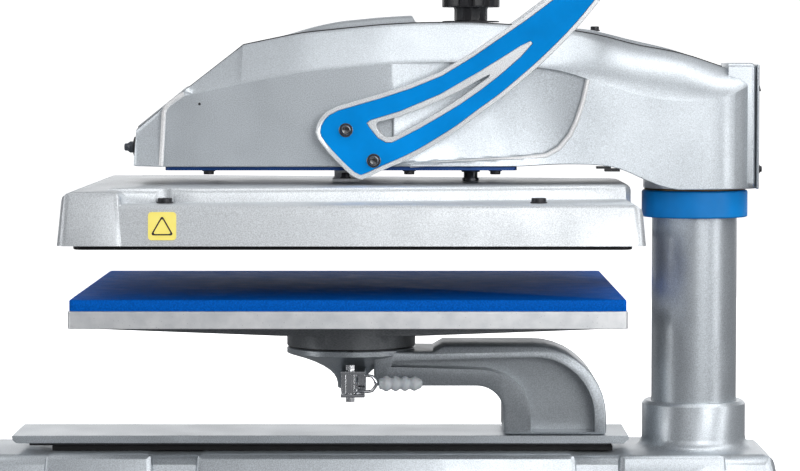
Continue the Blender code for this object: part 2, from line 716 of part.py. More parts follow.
def band(name, outer, inner, y_low, y_high, finish=None):
    """A flat bar between two edge lines drawn in (x, z), from y_low to y_high."""
    sections = []
    for far, near in zip(outer, inner):
        sections.append([(far[0], y_low, far[1]), (far[0], y_high, far[1]),
                         (near[0], y_high, near[1]), (near[0], y_low, near[1])])
    return loft(name, sections, finish)


def capsule(start, end, start_radius, end_radius, count=8):
    """Outline of a bar with round ends."""
    along = math.degrees(math.atan2(end[1] - start[1], end[0] - start[0]))
    return (arc(start, start_radius, along + 90, along + 270, count)
            + arc(end, end_radius, along - 90, along + 90, count))


def make_link():
    pin = (YOKE_X, YOKE_PIN_Z)
    outline = capsule(pin, crank_pin(), 0.0075, 0.0065)
    plate("toggle_link", [outline, circle(pin, 0.0044), circle(crank_pin(), 0.0042)],
          -0.0050, 0.0050, "steel")


# ---------------------------------------------------------------- head

# Stations along the head: x, top, bottom, half-width, shoulder drop, crown.
HEAD_STATIONS = (
    (-0.2182, 0.3640, 0.3603, 0.066, 0.001, 0),
    (-0.2155, 0.3943, 0.3597, 0.068, 0.003, 0),
    (-0.1900, 0.4148, HEAD_BOTTOM, 0.080, 0.004, 0),
    (-0.1680, 0.4325, HEAD_BOTTOM, 0.080, 0.006, 0),
    (-0.1150, 0.4751, HEAD_BOTTOM, 0.080, 0.037, 0),
    (-0.0900, 0.4805, HEAD_BOTTOM, 0.080, 0.038, 0.002),
    (-0.0597, 0.4865, HEAD_BOTTOM, 0.080, 0.038, 0.006),
    (-0.0200, 0.4910, HEAD_BOTTOM, 0.080, 0.038, 0.008),
    (0.0162, 0.4941, HEAD_BOTTOM, 0.080, 0.038, 0.008),
    (0.0450, 0.4958, HEAD_BOTTOM, 0.079, 0.038, 0.008),
    (0.0500, 0.4960, HEAD_BOTTOM, 0.079, 0.038, 0.0005),
    (0.1016, 0.4967, HEAD_BOTTOM, 0.078, 0.038, 0.0005),
    (0.1443, 0.4941, HEAD_BOTTOM, 0.076, 0.038, 0.0005),
    (0.1879, 0.4908, 0.3618, 0.073, 0.038, 0.003),
    (0.2060, 0.4890, 0.3619, 0.072, 0.038, 0.004),
    (0.2240, 0.4850, 0.3612, 0.071, 0.038, 0.004),
    (0.2450, 0.4795, 0.3578, 0.069, 0.037, 0.004),
    (0.2640, 0.4745, 0.3483, 0.067, 0.036, 0.003),
    (0.2919, 0.4700, REAR_BOTTOM, 0.064, 0.035, 0.002),
    (0.3120, 0.4655, REAR_BOTTOM, 0.0625, 0.034, 0.001),
    (0.3388, 0.4562, REAR_BOTTOM, 0.0596, 0.034, 0),
    (0.3550, 0.4496, REAR_BOTTOM, 0.0522, 0.032, 0),
    (0.3667, 0.4449, REAR_BOTTOM, 0.0424, 0.028, 0),
    (0.3770, 0.4405, REAR_BOTTOM, 0.0300, 0.024, 0),
)
SHOULDER = ((0, 1.0), (0.004, 0.78), (0.014, 0.38), (0.026, 0.10), (0.038, 0))   # inset, drop share


def head_section(station, wall):
    """One closed cross-section of the head, moved inwards by the wall."""
    x, top, bottom, half, drop, crown = station
    top -= wall
    half -= wall
    floor = bottom - 0.02 if wall else bottom
    reach = min(1.0, drop / 0.030)             # a shallow shoulder is also a narrow one
    side = [(half - min(inset * reach, half * 0.6), top - drop * share) for inset, share in SHOULDER]
    right = [(x, -y, z) for y, z in [(half, floor)] + side]
    left = [(x, y, z) for y, z in reversed([(half, floor)] + side)]
    return right + [(x, 0, top + crown)] + left


def make_head_shell():
    shell = loft("head_shell", [head_section(s, 0) for s in HEAD_STATIONS], "silver_paint")
    rear = box("rear_block_shape", (0.350, -0.040, REAR_BOTTOM + 0.0002), (0.3768, 0.040, 0.458))
    union(shell, bevel(rear, 0.005, 3, 30))
    inner = []
    for station in HEAD_STATIONS[1:-1]:
        x = station[0]
        if station is HEAD_STATIONS[1]:
            x += 0.004
        if station is HEAD_STATIONS[-2]:
            x += 0.006
        inner.append(head_section((x, *station[1:]), HEAD_WALL))
    cut(shell, loft("head_hollow_shape", inner))
    cut(shell, rods("shaft_hole_shape", [((SHAFT_X, -0.1, SHAFT_Z), (SHAFT_X, 0.1, SHAFT_Z), 0.0174)],
                    sides=24))
    cut(shell, rods("spindle_hole_shape", [((ROD_X, 0, 0.47), (ROD_X, 0, 0.52), 0.0085)]))
    cut(shell, rods("button_hole_shape", [((-0.24, BUTTON_Y, BUTTON_Z),
                                           (-0.19, BUTTON_Y, BUTTON_Z), 0.0064)]))
    cut(shell, box("inlet_hole_shape", (0.365, -0.0145, 0.3545), (0.39, 0.0145, 0.3755)))
    smooth(shell, 30)


BUTTON_Y = -0.030
BUTTON_Z = 0.377
ROCKER_X = 0.3807
ROCKER_Z = 0.4395
BREAKER_Z = 0.4080
REAR_FACE = 0.3797 + GAP          # outside of the rear cover


def make_head_inside():
    place = (COLUMN_X, 0, 0)
    hub = turned("swing_hub", ring_profile(0.0458, 0.0500, REAR_BOTTOM + GAP, 0.4200), place,
                 "aluminium", closed=True)
    union(hub, boxes("hub_rib_shapes", [((0.205, y - 0.004, 0.370), (0.2745, y + 0.004, 0.430))
                                        for y in (-0.020, 0.020)]))
    union(hub, boxes("hub_ear_shapes", [((0.308, 0.0470, 0.345), (0.330, 0.0560, 0.405)),
                                        ((0.308, -0.0560, 0.345), (0.330, -0.0470, 0.405))]))
    for name, low, high in (("lower_column_bush", REAR_BOTTOM + GAP, 0.3560),
                            ("upper_column_bush", 0.4010, 0.4195)):
        turned(name, ring_profile(0.0420, 0.0454, low, high), place, "bronze", closed=True)
    rim = rounded_rectangle((-0.1877, -0.0765), (0.1462, 0.0765), 0.006, 3)
    slot = rounded_rectangle((-0.0480, -0.0280), (0.0130, 0.0280), 0.004, 2)
    flat_plate("head_bottom_plate", [rim, slot, circle((ROD_X, 0), 0.0095)],
               HEAD_BOTTOM - 0.0035, HEAD_BOTTOM - GAP, "blue_anodised")
    joined_boxes("cable_clip", [((0.2220, -0.0660, 0.3572), (0.2360, -0.0540, 0.3594)),
                                ((0.2300, -0.0660, 0.3545), (0.2445, -0.0540, 0.3575))], "black_plastic")
    turned("guide_bushing", [(0.0090, 0.3930), (0.0090, 0.3640), (0.0160, 0.3640), (0.0160, 0.3598),
                             (0.0090, 0.3598), (0.0090, 0.3520), (0.0072, 0.3520), (0.0072, 0.3930)],
           (ROD_X, 0, 0), "bronze", 24, closed=True)
    for name, low, high in (("right_shaft_bush", -0.0835, -0.0700),
                            ("left_shaft_bush", 0.0700, 0.0835)):
        turned(name, ring_profile(0.0115, 0.0170, low, high), (SHAFT_X, 0, SHAFT_Z), "bronze", 24,
               closed=True, axis="Y")
    block = box("pressure_block", (ROD_X - 0.024, -0.035, 0.4550), (ROD_X + 0.024, 0.035, 0.4800),
                "steel", 0.002, 1)
    cut(block, rods("block_bore_shape", [((ROD_X, 0, 0.44), (ROD_X, 0, 0.5), 0.0074)]))


SLANT_LOW = Vector((-0.2155, 0, 0.3943))
SLANT_HIGH = Vector((-0.1150, 0, 0.4751))
SCREEN_ALONG = 0.0330             # middle of the screen, up the slant


def on_slant(obj, along, out):
    """Place an object drawn flat round its own origin on the slanted front face."""
    direction = (SLANT_HIGH - SLANT_LOW).normalized()
    normal = Vector((-direction.z, 0, direction.x))
    obj.rotation_euler = (0, -math.atan2(direction.z, direction.x), 0)
    obj.location = SLANT_LOW + direction * along + normal * out
    return obj


def make_controls():
    frame = flat_plate("screen_bezel", [rounded_rectangle((-0.031, -0.062), (0.031, 0.062), 0.006, 3),
                                        rounded_rectangle((-0.0255, -0.0470), (0.0255, 0.0470), 0.002, 2)],
                       0, 0.0016, "grey_plastic")
    bevel(frame, 0.0004, 1, 50)
    on_slant(frame, SCREEN_ALONG, 0.0004)
    glass = rounded_rectangle((-0.0252, -0.0467), (0.0252, 0.0467), 0.002, 2)
    screen = flat_plate("touch_screen", [glass], 0, 0.0012, "glass")
    on_slant(screen, SCREEN_ALONG, 0.0004)
    board = box("control_board", (-0.045, -0.055, -0.0008), (0.045, 0.055, 0.0008), "circuit_green")
    on_slant(board, 0.060, -0.0180)
    place = (-0.2181, BUTTON_Y, BUTTON_Z)
    bezel = turned("front_button_bezel", [(0.0068, 0.0034), (0.0100, 0.0022), (0.0100, 0), (0.0064, 0),
                                          (0.0064, 0.0034)], place, "black_plastic", 24, closed=True)
    button = turned("front_button", [(0, 0.0120), (0.0028, 0.0120), (0.0036, 0.0112), (0.0036, 0.0090),
                                     (0.0055, 0.0064), (0.0055, -0.0070), (0, -0.0070)],
                    place, "black_plastic", 24)
    for piece in (bezel, button):
        piece.rotation_euler = (0, math.radians(-90), 0)


def make_rear():
    cover = box("rear_cover", (0.3773, -0.041, REAR_BOTTOM), (0.3797, 0.041, 0.4565),
                "silver_paint", 0.0009, 1)
    cut(cover, box("rocker_hole_shape", (0.37, -0.0088, ROCKER_Z - 0.0108),
                   (0.39, 0.0088, ROCKER_Z + 0.0108)))
    cut(cover, rods("breaker_hole_shape", [((0.37, 0, BREAKER_Z), (0.39, 0, BREAKER_Z), 0.0046)]))
    cut(cover, box("inlet_gap_shape", (0.37, -0.0145, 0.3545), (0.39, 0.0145, 0.3755)))
    face = REAR_FACE
    frame = box("rocker_frame", (face, -0.0110, ROCKER_Z - 0.0122),
                (face + 0.0014, 0.0110, ROCKER_Z + 0.0122), "black_plastic")
    cut(frame, box("rocker_gap_shape", (0.37, -0.0086, ROCKER_Z - 0.0106),
                   (0.40, 0.0086, ROCKER_Z + 0.0106)))
    outline = [(-0.0022, -0.0092), (0.0030, -0.0096), (0.0018, 0), (0.0030, 0.0096), (-0.0022, 0.0092)]
    rocker = plate("power_rocker", [outline], -0.0080, 0.0080, "black_plastic")
    rocker.location = (ROCKER_X, 0, ROCKER_Z)
    rocker.rotation_euler = (0, math.radians(-8), 0)
    turned("breaker_collar", ring_profile(0.0046, 0.0075, 0, 0.0015), (face, 0, BREAKER_Z),
           "black_plastic", 20, closed=True, axis="X")
    turned("breaker_button", [(0, 0.0036), (0.0036, 0.0036), (0.0040, 0.0030), (0.0040, -0.0010),
                              (0, -0.0010)], (face, 0, BREAKER_Z), "black_plastic", 20, axis="X")
    body = box("power_inlet", (0.3740, -0.0142, 0.3548), (face + 0.0004, 0.0142, 0.3752),
               "black_plastic")
    union(body, box("inlet_flange_shape", (face, -0.0250, 0.3510), (face + 0.0012, 0.0250, 0.3790)))
    cut(body, box("inlet_recess_shape", (0.3755, -0.0122, 0.3570), (0.40, 0.0122, 0.3730)))
    pins = ((-0.007, 0.3635), (0.007, 0.3635), (0, 0.3675))
    union(body, rods("inlet_pin_shapes", [((0.3750, y, z), (0.3790, y, z), 0.0012) for y, z in pins],
                     sides=6))


def make_knob():
    lobes = 12
    outline = []
    for i in range(lobes * 5):
        angle = 2 * math.pi * i / (lobes * 5)
        flute = max(0.0, math.cos(lobes * angle)) ** 1.5
        radius = 0.0287 - 0.0034 * flute
        outline.append((radius * math.cos(angle), radius * math.sin(angle)))
    knob = flat_plate("pressure_knob", [outline], 0.5116, 0.5540, "black_plastic")
    knob.location = (ROD_X, 0, 0)
    union(knob, turned("knob_neck_shape", [(0, 0.5200), (0.0153, 0.5200), (0.0153, KNOB_SEAT),
                                           (0, KNOB_SEAT)], (ROD_X, 0, 0), None, 24))
    smooth(knob, 40)
    rods("pressure_spindle", [((ROD_X, 0, 0.4400), (ROD_X, 0, KNOB_SEAT - GAP), 0.0070)], "steel")


# ---------------------------------------------------------------- handle

# Outlines of the handle's side plates in (x, z), handle raised.
HANDLE_LOWER = ((-0.0011, 0.3480), (0.0164, 0.3558), (0.0352, 0.3638), (0.0541, 0.3730),
                (0.0729, 0.3842), (0.0918, 0.3963), (0.1106, 0.4105), (0.1295, 0.4241),
                (0.1483, 0.4397), (0.1672, 0.4562), (0.1860, 0.4743), (0.2048, 0.4943),
                (0.2237, 0.5174), (0.2640, 0.5680), (0.2900, 0.6040))
HANDLE_UPPER = ((0.2590, 0.6180), (0.2420, 0.5880), (0.2130, 0.5520), (0.1728, 0.5174),
                (0.1295, 0.4863), (0.0729, 0.4496), (0.0164, 0.4288), (-0.0241, 0.4171))
HANDLE_FOOT = ((-0.0390, 0.4070), (-0.0441, 0.3925), (-0.0383, 0.3808), (-0.0241, 0.3648),
               (-0.0100, 0.3516))
WINDOW = ((0.0070, 0.4039), (0.0352, 0.4124), (0.0729, 0.4284), (0.1106, 0.4500), (0.1295, 0.4618),
          (0.1483, 0.4736), (0.1577, 0.4783), (0.1596, 0.4760), (0.1483, 0.4632), (0.1295, 0.4468),
          (0.1106, 0.4321), (0.0918, 0.4190), (0.0729, 0.4076), (0.0541, 0.3968), (0.0352, 0.3869),
          (0.0277, 0.3832), (0.0220, 0.3832), (0.0145, 0.3874), (0.0070, 0.3968), (0.0040, 0.4012))
LIGHTENING = ((0.0164, 0.4029), (0.0352, 0.4076), (0.0541, 0.4147), (0.0729, 0.4227),
              (0.0918, 0.4317), (0.1106, 0.4425), (0.1195, 0.4470), (0.1190, 0.4450),
              (0.1106, 0.4387), (0.0918, 0.4251), (0.0729, 0.4128), (0.0541, 0.4020),
              (0.0352, 0.3916), (0.0277, 0.3884), (0.0211, 0.3884), (0.0154, 0.3926),
              (0.0126, 0.3978), (0.0132, 0.4012))
GRIP_END = 0.0195


def handle_outline():
    grip = (GRIP_X - 0.004, GRIP_Z - 0.004)
    end = arc(grip, GRIP_END, -25, 155, 7)
    outline = smooth_line([HANDLE_FOOT[-1], *HANDLE_LOWER], 2)[2:]
    outline += end
    outline += smooth_line([*HANDLE_UPPER, *HANDLE_FOOT, HANDLE_LOWER[0]], 2)[:-1]
    return outline


def make_handle():
    outline = handle_outline()
    recess = 0.0012
    for side, sign in (("right", -1), ("left", 1)):
        inner, outer = sign * (HANDLE_OUTER_Y - HANDLE_THICKNESS), sign * HANDLE_OUTER_Y
        arm = plate(f"handle_plate_{side}", [outline, LIGHTENING], *sorted((inner, outer)),
                    "silver_paint")
        floor = outer - sign * recess
        cut(arm, plate(f"recess_shape_{side}", [inset(outline, 0.0042), WINDOW],
                       *sorted((floor, outer + sign * 0.01))))
        smooth(arm, 40)
        plate(f"handle_inlay_{side}", [inset(outline, 0.0045), inset(WINDOW, -0.0003)],
              *sorted((floor + sign * GAP, outer - sign * 0.0002)), "blue_inlay")
    reach = HANDLE_OUTER_Y - HANDLE_THICKNESS - GAP
    grip = (GRIP_X - 0.004, GRIP_Z - 0.004)
    rods("grip_bar", [((grip[0], -reach, grip[1]), (grip[0], reach, grip[1]), 0.0100)], "chrome", 24)
    turned("grip_sleeve", [(0.0150, 0.0850), (0.0170, 0.0830), (0.0170, -0.0830), (0.0150, -0.0850),
                           (0.0104, -0.0850), (0.0104, 0.0850)], (grip[0], 0, grip[1]), "rubber", 24,
           closed=True, axis="Y")


def make_crank():
    reach = HANDLE_OUTER_Y - HANDLE_THICKNESS - GAP
    pin = crank_pin()
    middle = 0.0112
    flange = 0.0240
    shoulder = reach - 0.0072
    shaft = turned("crank_shaft", [(0, reach), (flange, reach), (flange, shoulder),
                                   (SHAFT_RADIUS, shoulder), (SHAFT_RADIUS, middle),
                                   (0.0088, middle), (0.0088, -middle), (SHAFT_RADIUS, -middle),
                                   (SHAFT_RADIUS, -shoulder), (flange, -shoulder), (flange, -reach),
                                   (0, -reach)],
                   (SHAFT_X, 0, SHAFT_Z), "steel", 20, axis="Y")
    for sign in (-1, 1):
        low, high = sorted((sign * 0.0120, sign * 0.0200))
        arm = capsule((SHAFT_X, SHAFT_Z), pin, 0.0140, 0.0085)
        union(shaft, plate(f"crank_arm_{sign}", [arm], low, high))
        union(shaft, rods(f"crank_pin_{sign}", [((pin[0], sign * 0.0065, pin[1]),
                                                (pin[0], sign * 0.0150, pin[1]), 0.0040)]))


def build():
    clear_scene()
    make_base()
    make_feet()
    make_column()
    make_drawer()
    make_arm()
    make_latch()
    make_lower_platen()
    make_heat_platen()
    make_cover()
    make_yoke()
    make_link()
    make_head_shell()
    make_head_inside()
    make_controls()
    make_rear()
    make_knob()
    make_handle()
    make_crank()


build()
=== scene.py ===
"""Looks of the swing-away heat press: finished surfaces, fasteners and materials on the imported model."""
import math

import bmesh
import bpy
import json
import numpy as np
from mathutils import Matrix, Vector


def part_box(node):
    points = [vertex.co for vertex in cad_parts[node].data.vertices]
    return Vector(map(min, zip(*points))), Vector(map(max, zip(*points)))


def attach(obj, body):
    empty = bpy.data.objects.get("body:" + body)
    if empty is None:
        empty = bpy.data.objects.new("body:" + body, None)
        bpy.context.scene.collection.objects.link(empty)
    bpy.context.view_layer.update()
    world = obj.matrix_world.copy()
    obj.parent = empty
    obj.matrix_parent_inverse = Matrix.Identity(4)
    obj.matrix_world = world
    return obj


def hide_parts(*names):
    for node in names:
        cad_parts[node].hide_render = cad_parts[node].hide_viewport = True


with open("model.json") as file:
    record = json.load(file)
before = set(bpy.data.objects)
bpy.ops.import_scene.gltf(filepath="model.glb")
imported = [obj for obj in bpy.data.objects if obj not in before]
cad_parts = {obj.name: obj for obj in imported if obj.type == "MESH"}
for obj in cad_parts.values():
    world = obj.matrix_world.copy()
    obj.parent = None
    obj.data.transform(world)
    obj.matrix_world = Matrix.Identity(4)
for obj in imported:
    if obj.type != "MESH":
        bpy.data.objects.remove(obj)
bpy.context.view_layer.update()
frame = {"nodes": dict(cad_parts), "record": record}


# ---------------------------------------------------------------- materials

SHADE_LINE_DEPTH, SHADE_LINE_FADE = 0.0160, 0.0012     # below the platen's top the casting is painted dark grey: painted shade for the platen's shadow on the hub


class Look:
    """A material being made: one Principled shader, with short ways to add nodes."""

    def __init__(self, name, roughness, metallic=0.0, **sockets):
        self.material = bpy.data.materials.new(name)
        self.material.use_nodes = True
        self.tree = self.material.node_tree
        self.shader = self.tree.nodes["Principled BSDF"]
        self.shader.inputs["Roughness"].default_value = roughness
        self.shader.inputs["Metallic"].default_value = metallic
        for socket, value in sockets.items():
            self.shader.inputs[socket.replace("_", " ")].default_value = value
        self.place = self.node("ShaderNodeTexCoord").outputs["Object"]
        self.height = None

    def node(self, kind, **inputs):
        made = self.tree.nodes.new(kind)
        for name, value in inputs.items():
            self.feed(made.inputs[name.replace("_", " ")], value)
        return made

    def feed(self, socket, value):
        if isinstance(value, bpy.types.NodeSocket):
            self.tree.links.new(value, socket)
        else:
            socket.default_value = value

    def noise(self, scale, detail=2.0, stretch=(1, 1, 1)):
        place = self.node("ShaderNodeMapping", Vector=self.place, Scale=stretch).outputs["Vector"]
        return self.node("ShaderNodeTexNoise", Vector=place, Scale=scale, Detail=detail).outputs["Fac"]

    def cells(self, scale, stretch=(1, 1, 1)):
        place = self.node("ShaderNodeMapping", Vector=self.place, Scale=stretch).outputs["Vector"]
        return self.node("ShaderNodeTexVoronoi", Vector=place, Scale=scale).outputs["Distance"]

    def ranged(self, value, low, high, start=0.3, end=0.7):
        made = self.node("ShaderNodeMapRange", Value=value, To_Min=low, To_Max=high,
                         From_Min=start, From_Max=end)
        return made.outputs["Result"]

    def blend(self, factor, first, second):
        made = self.tree.nodes.new("ShaderNodeMix")
        made.data_type = "RGBA"
        self.feed(made.inputs[0], factor)
        for socket, value in ((made.inputs[6], first), (made.inputs[7], second)):
            self.feed(socket, (*value, 1.0) if isinstance(value, tuple) else value)
        return made.outputs[2]

    def multiply(self, first, second):
        made = self.tree.nodes.new("ShaderNodeMath")
        made.operation = "MULTIPLY"
        self.feed(made.inputs[0], first)
        self.feed(made.inputs[1], second)
        return made.outputs[0]

    def colour(self, value):
        self.feed(self.shader.inputs["Base Color"], value)
        return self

    def rough(self, value):
        self.feed(self.shader.inputs["Roughness"], value)
        return self

    def bump(self, height, distance, strength=1.0):
        """Add a bump on top of those already there; distance is in metres."""
        made = self.node("ShaderNodeBump", Height=height, Distance=distance, Strength=strength)
        if self.height:
            self.tree.links.new(self.height, made.inputs["Normal"])
        self.height = made.outputs["Normal"]
        self.tree.links.new(self.height, self.shader.inputs["Normal"])
        return self


def silver_paint(name="silver_paint", tone=(0.58, 0.622, 0.658), metal=0.72, gloss=0.36):
    """Metallic paint: fine flake in the colour, faint orange peel, and slow drifts in gloss."""
    look = Look(name, gloss, metal, Coat_Weight=0.25, Coat_Roughness=0.22)
    dark = tuple(0.80 * part for part in tone)
    light = tuple(min(1.0, 1.16 * part) for part in tone)
    flake = look.ranged(look.noise(1100, 1), 0.0, 1.0, 0.34, 0.66)
    drift = look.ranged(look.noise(7, 3), 0.0, 1.0)
    colour = look.blend(flake, dark, light)
    look.colour(look.blend(look.multiply(drift, 0.22), colour, tone))
    look.rough(look.ranged(look.noise(26, 4), gloss * 0.92, gloss * 1.19))
    look.bump(look.noise(420, 2), 0.00012, 0.35)
    return look.bump(look.noise(1500, 1), 0.00005, 0.30).material


def machined(name, colour, roughness, direction, metallic=1.0, depth=0.00004):
    """Bare metal with tool marks that run along one direction."""
    look = Look(name, roughness, metallic)
    marks = look.noise(900, 3, direction)
    broad = look.noise(14, 3)
    look.colour(look.blend(look.ranged(marks, 0.0, 1.0), tuple(0.82 * c for c in colour), colour))
    look.rough(look.ranged(broad, roughness * 0.85, roughness * 1.25))
    return look.bump(marks, depth, 0.5).material


def milled_platen(name="platen_aluminium"):
    """Cast aluminium plate, skimmed: soft blotches, open grain and scattered pores, with a dark grey
    painted shade below the plate's top for the platen's shadow.
    """
    look = Look(name, 0.42, 0.55)
    blotch = look.noise(60, 5)
    grain = look.noise(520, 3, (1, 1, 2.4))
    pores = look.cells(260)
    base = look.blend(look.ranged(blotch, 0.0, 1.0), (0.78, 0.80, 0.82), (0.97, 0.98, 0.99))
    skimmed = look.blend(look.ranged(pores, 0.55, 0.0, 0.02, 0.14), base, (0.30, 0.31, 0.33))
    # painted shade: this dark grey stands for the shadow the platen casts on the hub below it, not for a
    # rough casting
    painted_underside_shade = look.blend(look.ranged(grain, 0.0, 1.0), (0.15, 0.16, 0.17), (0.25, 0.26, 0.27))
    height = look.node("ShaderNodeSeparateXYZ", Vector=look.place).outputs["Z"]
    plate_top = max(vert.co.z for vert in frame["nodes"]["lower_platen"].data.vertices)
    plate_foot = plate_top - SHADE_LINE_DEPTH
    # share of the lit plate colour: 0 below the painted shade line, 1 above it
    edge = look.ranged(height, 0.0, 1.0, plate_foot - SHADE_LINE_FADE, plate_foot)
    look.colour(look.blend(edge, painted_underside_shade, skimmed))
    look.rough(look.ranged(grain, 0.34, 0.55))
    look.bump(blotch, 0.0004, 0.35)
    return look.bump(grain, 0.00016, 0.55).material


def coloured_metal(name, colour, roughness=0.34):
    """Dyed, satin metal: even colour with fine blasting and faint handling marks."""
    look = Look(name, roughness, 0.55, Coat_Weight=0.15, Coat_Roughness=0.3)
    drift = look.ranged(look.noise(18, 4), 0.0, 1.0)
    look.colour(look.blend(drift, tuple(0.82 * c for c in colour), tuple(1.14 * c for c in colour)))
    look.rough(look.ranged(look.noise(70, 4), roughness * 0.85, roughness * 1.2))
    return look.bump(look.noise(1300, 1), 0.00005, 0.5).material


def moulded(name, colour, roughness, grain=650, depth=0.00008, coat=0.0, gloss=0.5):
    """Moulded plastic or film: fine pebbled grain and slight colour drift."""
    look = Look(name, roughness, 0.0, Coat_Weight=coat, Coat_Roughness=0.2,
                Specular_IOR_Level=gloss)
    look.colour(look.blend(look.ranged(look.noise(30, 3), 0.0, 1.0),
                           tuple(0.90 * c for c in colour), tuple(min(1.0, 1.08 * c) for c in colour)))
    look.rough(look.ranged(look.noise(90, 3), roughness * 0.9, roughness * 1.12))
    return look.bump(look.cells(grain), depth, 0.45).material


def silicone_foam(name="silicone_foam"):
    """Fine-celled silicone: tiny pores and fine specks all over, with a soft waviness in the skin."""
    look = Look(name, 0.62, 0.0, Specular_IOR_Level=0.05)
    pores = look.cells(900)
    speck = look.noise(620, 2)
    body = look.blend(look.ranged(speck, 0.0, 1.0), (0.000, 0.105, 0.52), (0.002, 0.170, 0.76))
    look.colour(look.blend(look.ranged(pores, 0.55, 0.0, 0.05, 0.30), body, (0.0, 0.030, 0.20)))
    look.rough(look.ranged(look.noise(45, 4), 0.55, 0.72))
    look.bump(look.noise(24, 3), 0.0003, 0.12)
    return look.bump(pores, 0.00010, 0.40).material


def dipped_vinyl(name="dipped_vinyl"):
    look = Look(name, 0.48, 0.0, Subsurface_Weight=0.05, Coat_Weight=0.12, Coat_Roughness=0.35)
    look.colour(look.blend(look.ranged(look.noise(60, 3), 0.0, 1.0), (0.74, 0.78, 0.82),
                           (0.88, 0.91, 0.94)))
    look.rough(look.ranged(look.noise(150, 3), 0.42, 0.58))
    return look.bump(look.noise(500, 3), 0.00012, 0.4).material


def mineral_wool(name="mineral_wool"):
    look = Look(name, 0.95, 0.0, Sheen_Weight=0.3)
    fibres = look.noise(300, 6, (1, 0.15, 1))
    look.colour(look.blend(look.ranged(fibres, 0.0, 1.0), (0.55, 0.52, 0.44), (0.82, 0.80, 0.72)))
    return look.bump(fibres, 0.0008, 0.8).material


def display_glass(name="display_glass"):
    look = Look(name, 0.07, 0.0, Coat_Weight=0.6, Coat_Roughness=0.04)
    smear = look.noise(22, 4, (1, 3, 1))
    look.colour(look.blend(look.ranged(smear, 0.0, 1.0), (0.008, 0.010, 0.014),
                           (0.016, 0.019, 0.026)))
    return look.rough(look.ranged(smear, 0.05, 0.13)).material


def circuit_board(name="circuit_board"):
    look = Look(name, 0.42, 0.0, Coat_Weight=0.4, Coat_Roughness=0.2)
    tracks = look.noise(140, 0, (1, 9, 9))
    look.colour(look.blend(look.ranged(tracks, 0.0, 1.0, 0.49, 0.51), (0.008, 0.10, 0.04),
                           (0.020, 0.19, 0.08)))
    return look.bump(tracks, 0.00006, 0.4).material


def powder_label(name="glowing_yellow_film"):
    # painted light: the yellow film glows faintly though it is no lamp, so the label reads brighter
    look = Look(name, 0.36, 0.0, Coat_Weight=0.3, Coat_Roughness=0.15,
                Emission_Color=(1.0, 0.86, 0.16, 1.0), Emission_Strength=0.28)
    look.colour(look.blend(look.ranged(look.noise(160, 3), 0.0, 1.0), (0.92, 0.76, 0.16),
                           (0.97, 0.84, 0.22)))
    return look.bump(look.noise(900, 2), 0.00003, 0.4).material


def heated_sheath(name="heated_sheath"):
    look = Look(name, 0.5, 0.8)
    tint = look.noise(35, 4)
    look.colour(look.blend(look.ranged(tint, 0.0, 1.0), (0.30, 0.08, 0.05), (0.46, 0.20, 0.12)))
    look.rough(look.ranged(tint, 0.42, 0.62))
    return look.bump(look.noise(700, 2), 0.00008, 0.4).material


LOOKS = {
    "silver_paint": silver_paint(),
    "steel": machined("bare_steel", (0.60, 0.61, 0.63), 0.28, (1, 0.03, 1)),
    "chrome": machined("bright_plate", (0.84, 0.85, 0.87), 0.11, (1, 1, 0.05), depth=0.00001),
    "aluminium": milled_platen(),
    "blue_anodised": moulded("blue_enamel", (0.0, 0.27, 0.78), 0.42, 900, 0.00004, gloss=0.3),
    "blue_inlay": moulded("blue_inlay", (0.0, 0.30, 0.84), 0.65, 900, 0.00005, gloss=0.06),
    "blue_silicone": silicone_foam(),
    "black_plastic": moulded("black_plastic", (0.018, 0.018, 0.021), 0.38, coat=0.1),
    "black_steel": coloured_metal("black_oxide", (0.030, 0.030, 0.034), 0.36),
    "black_coating": coloured_metal("black_coating", (0.018, 0.018, 0.020), 0.46),
    "burnished": machined("burnished_steel", (0.17, 0.175, 0.18), 0.17, (1, 1, 1), depth=0.00001),
    "grey_vinyl": dipped_vinyl(),
    "grey_plastic": moulded("grey_plastic", (0.62, 0.64, 0.66), 0.36),
    "insulation": mineral_wool(),
    "rubber": moulded("black_rubber", (0.024, 0.024, 0.025), 0.72, 500, 0.00015),
    "bronze": machined("sintered_bronze", (0.50, 0.34, 0.16), 0.38, (1, 1, 1)),
    "glass": display_glass(),
    "circuit_green": circuit_board(),
    "yellow_label": powder_label(),
    "heater_red": heated_sheath(),
}
BRIGHT_SILVER = silver_paint("bright_silver_paint", (0.82, 0.845, 0.87))
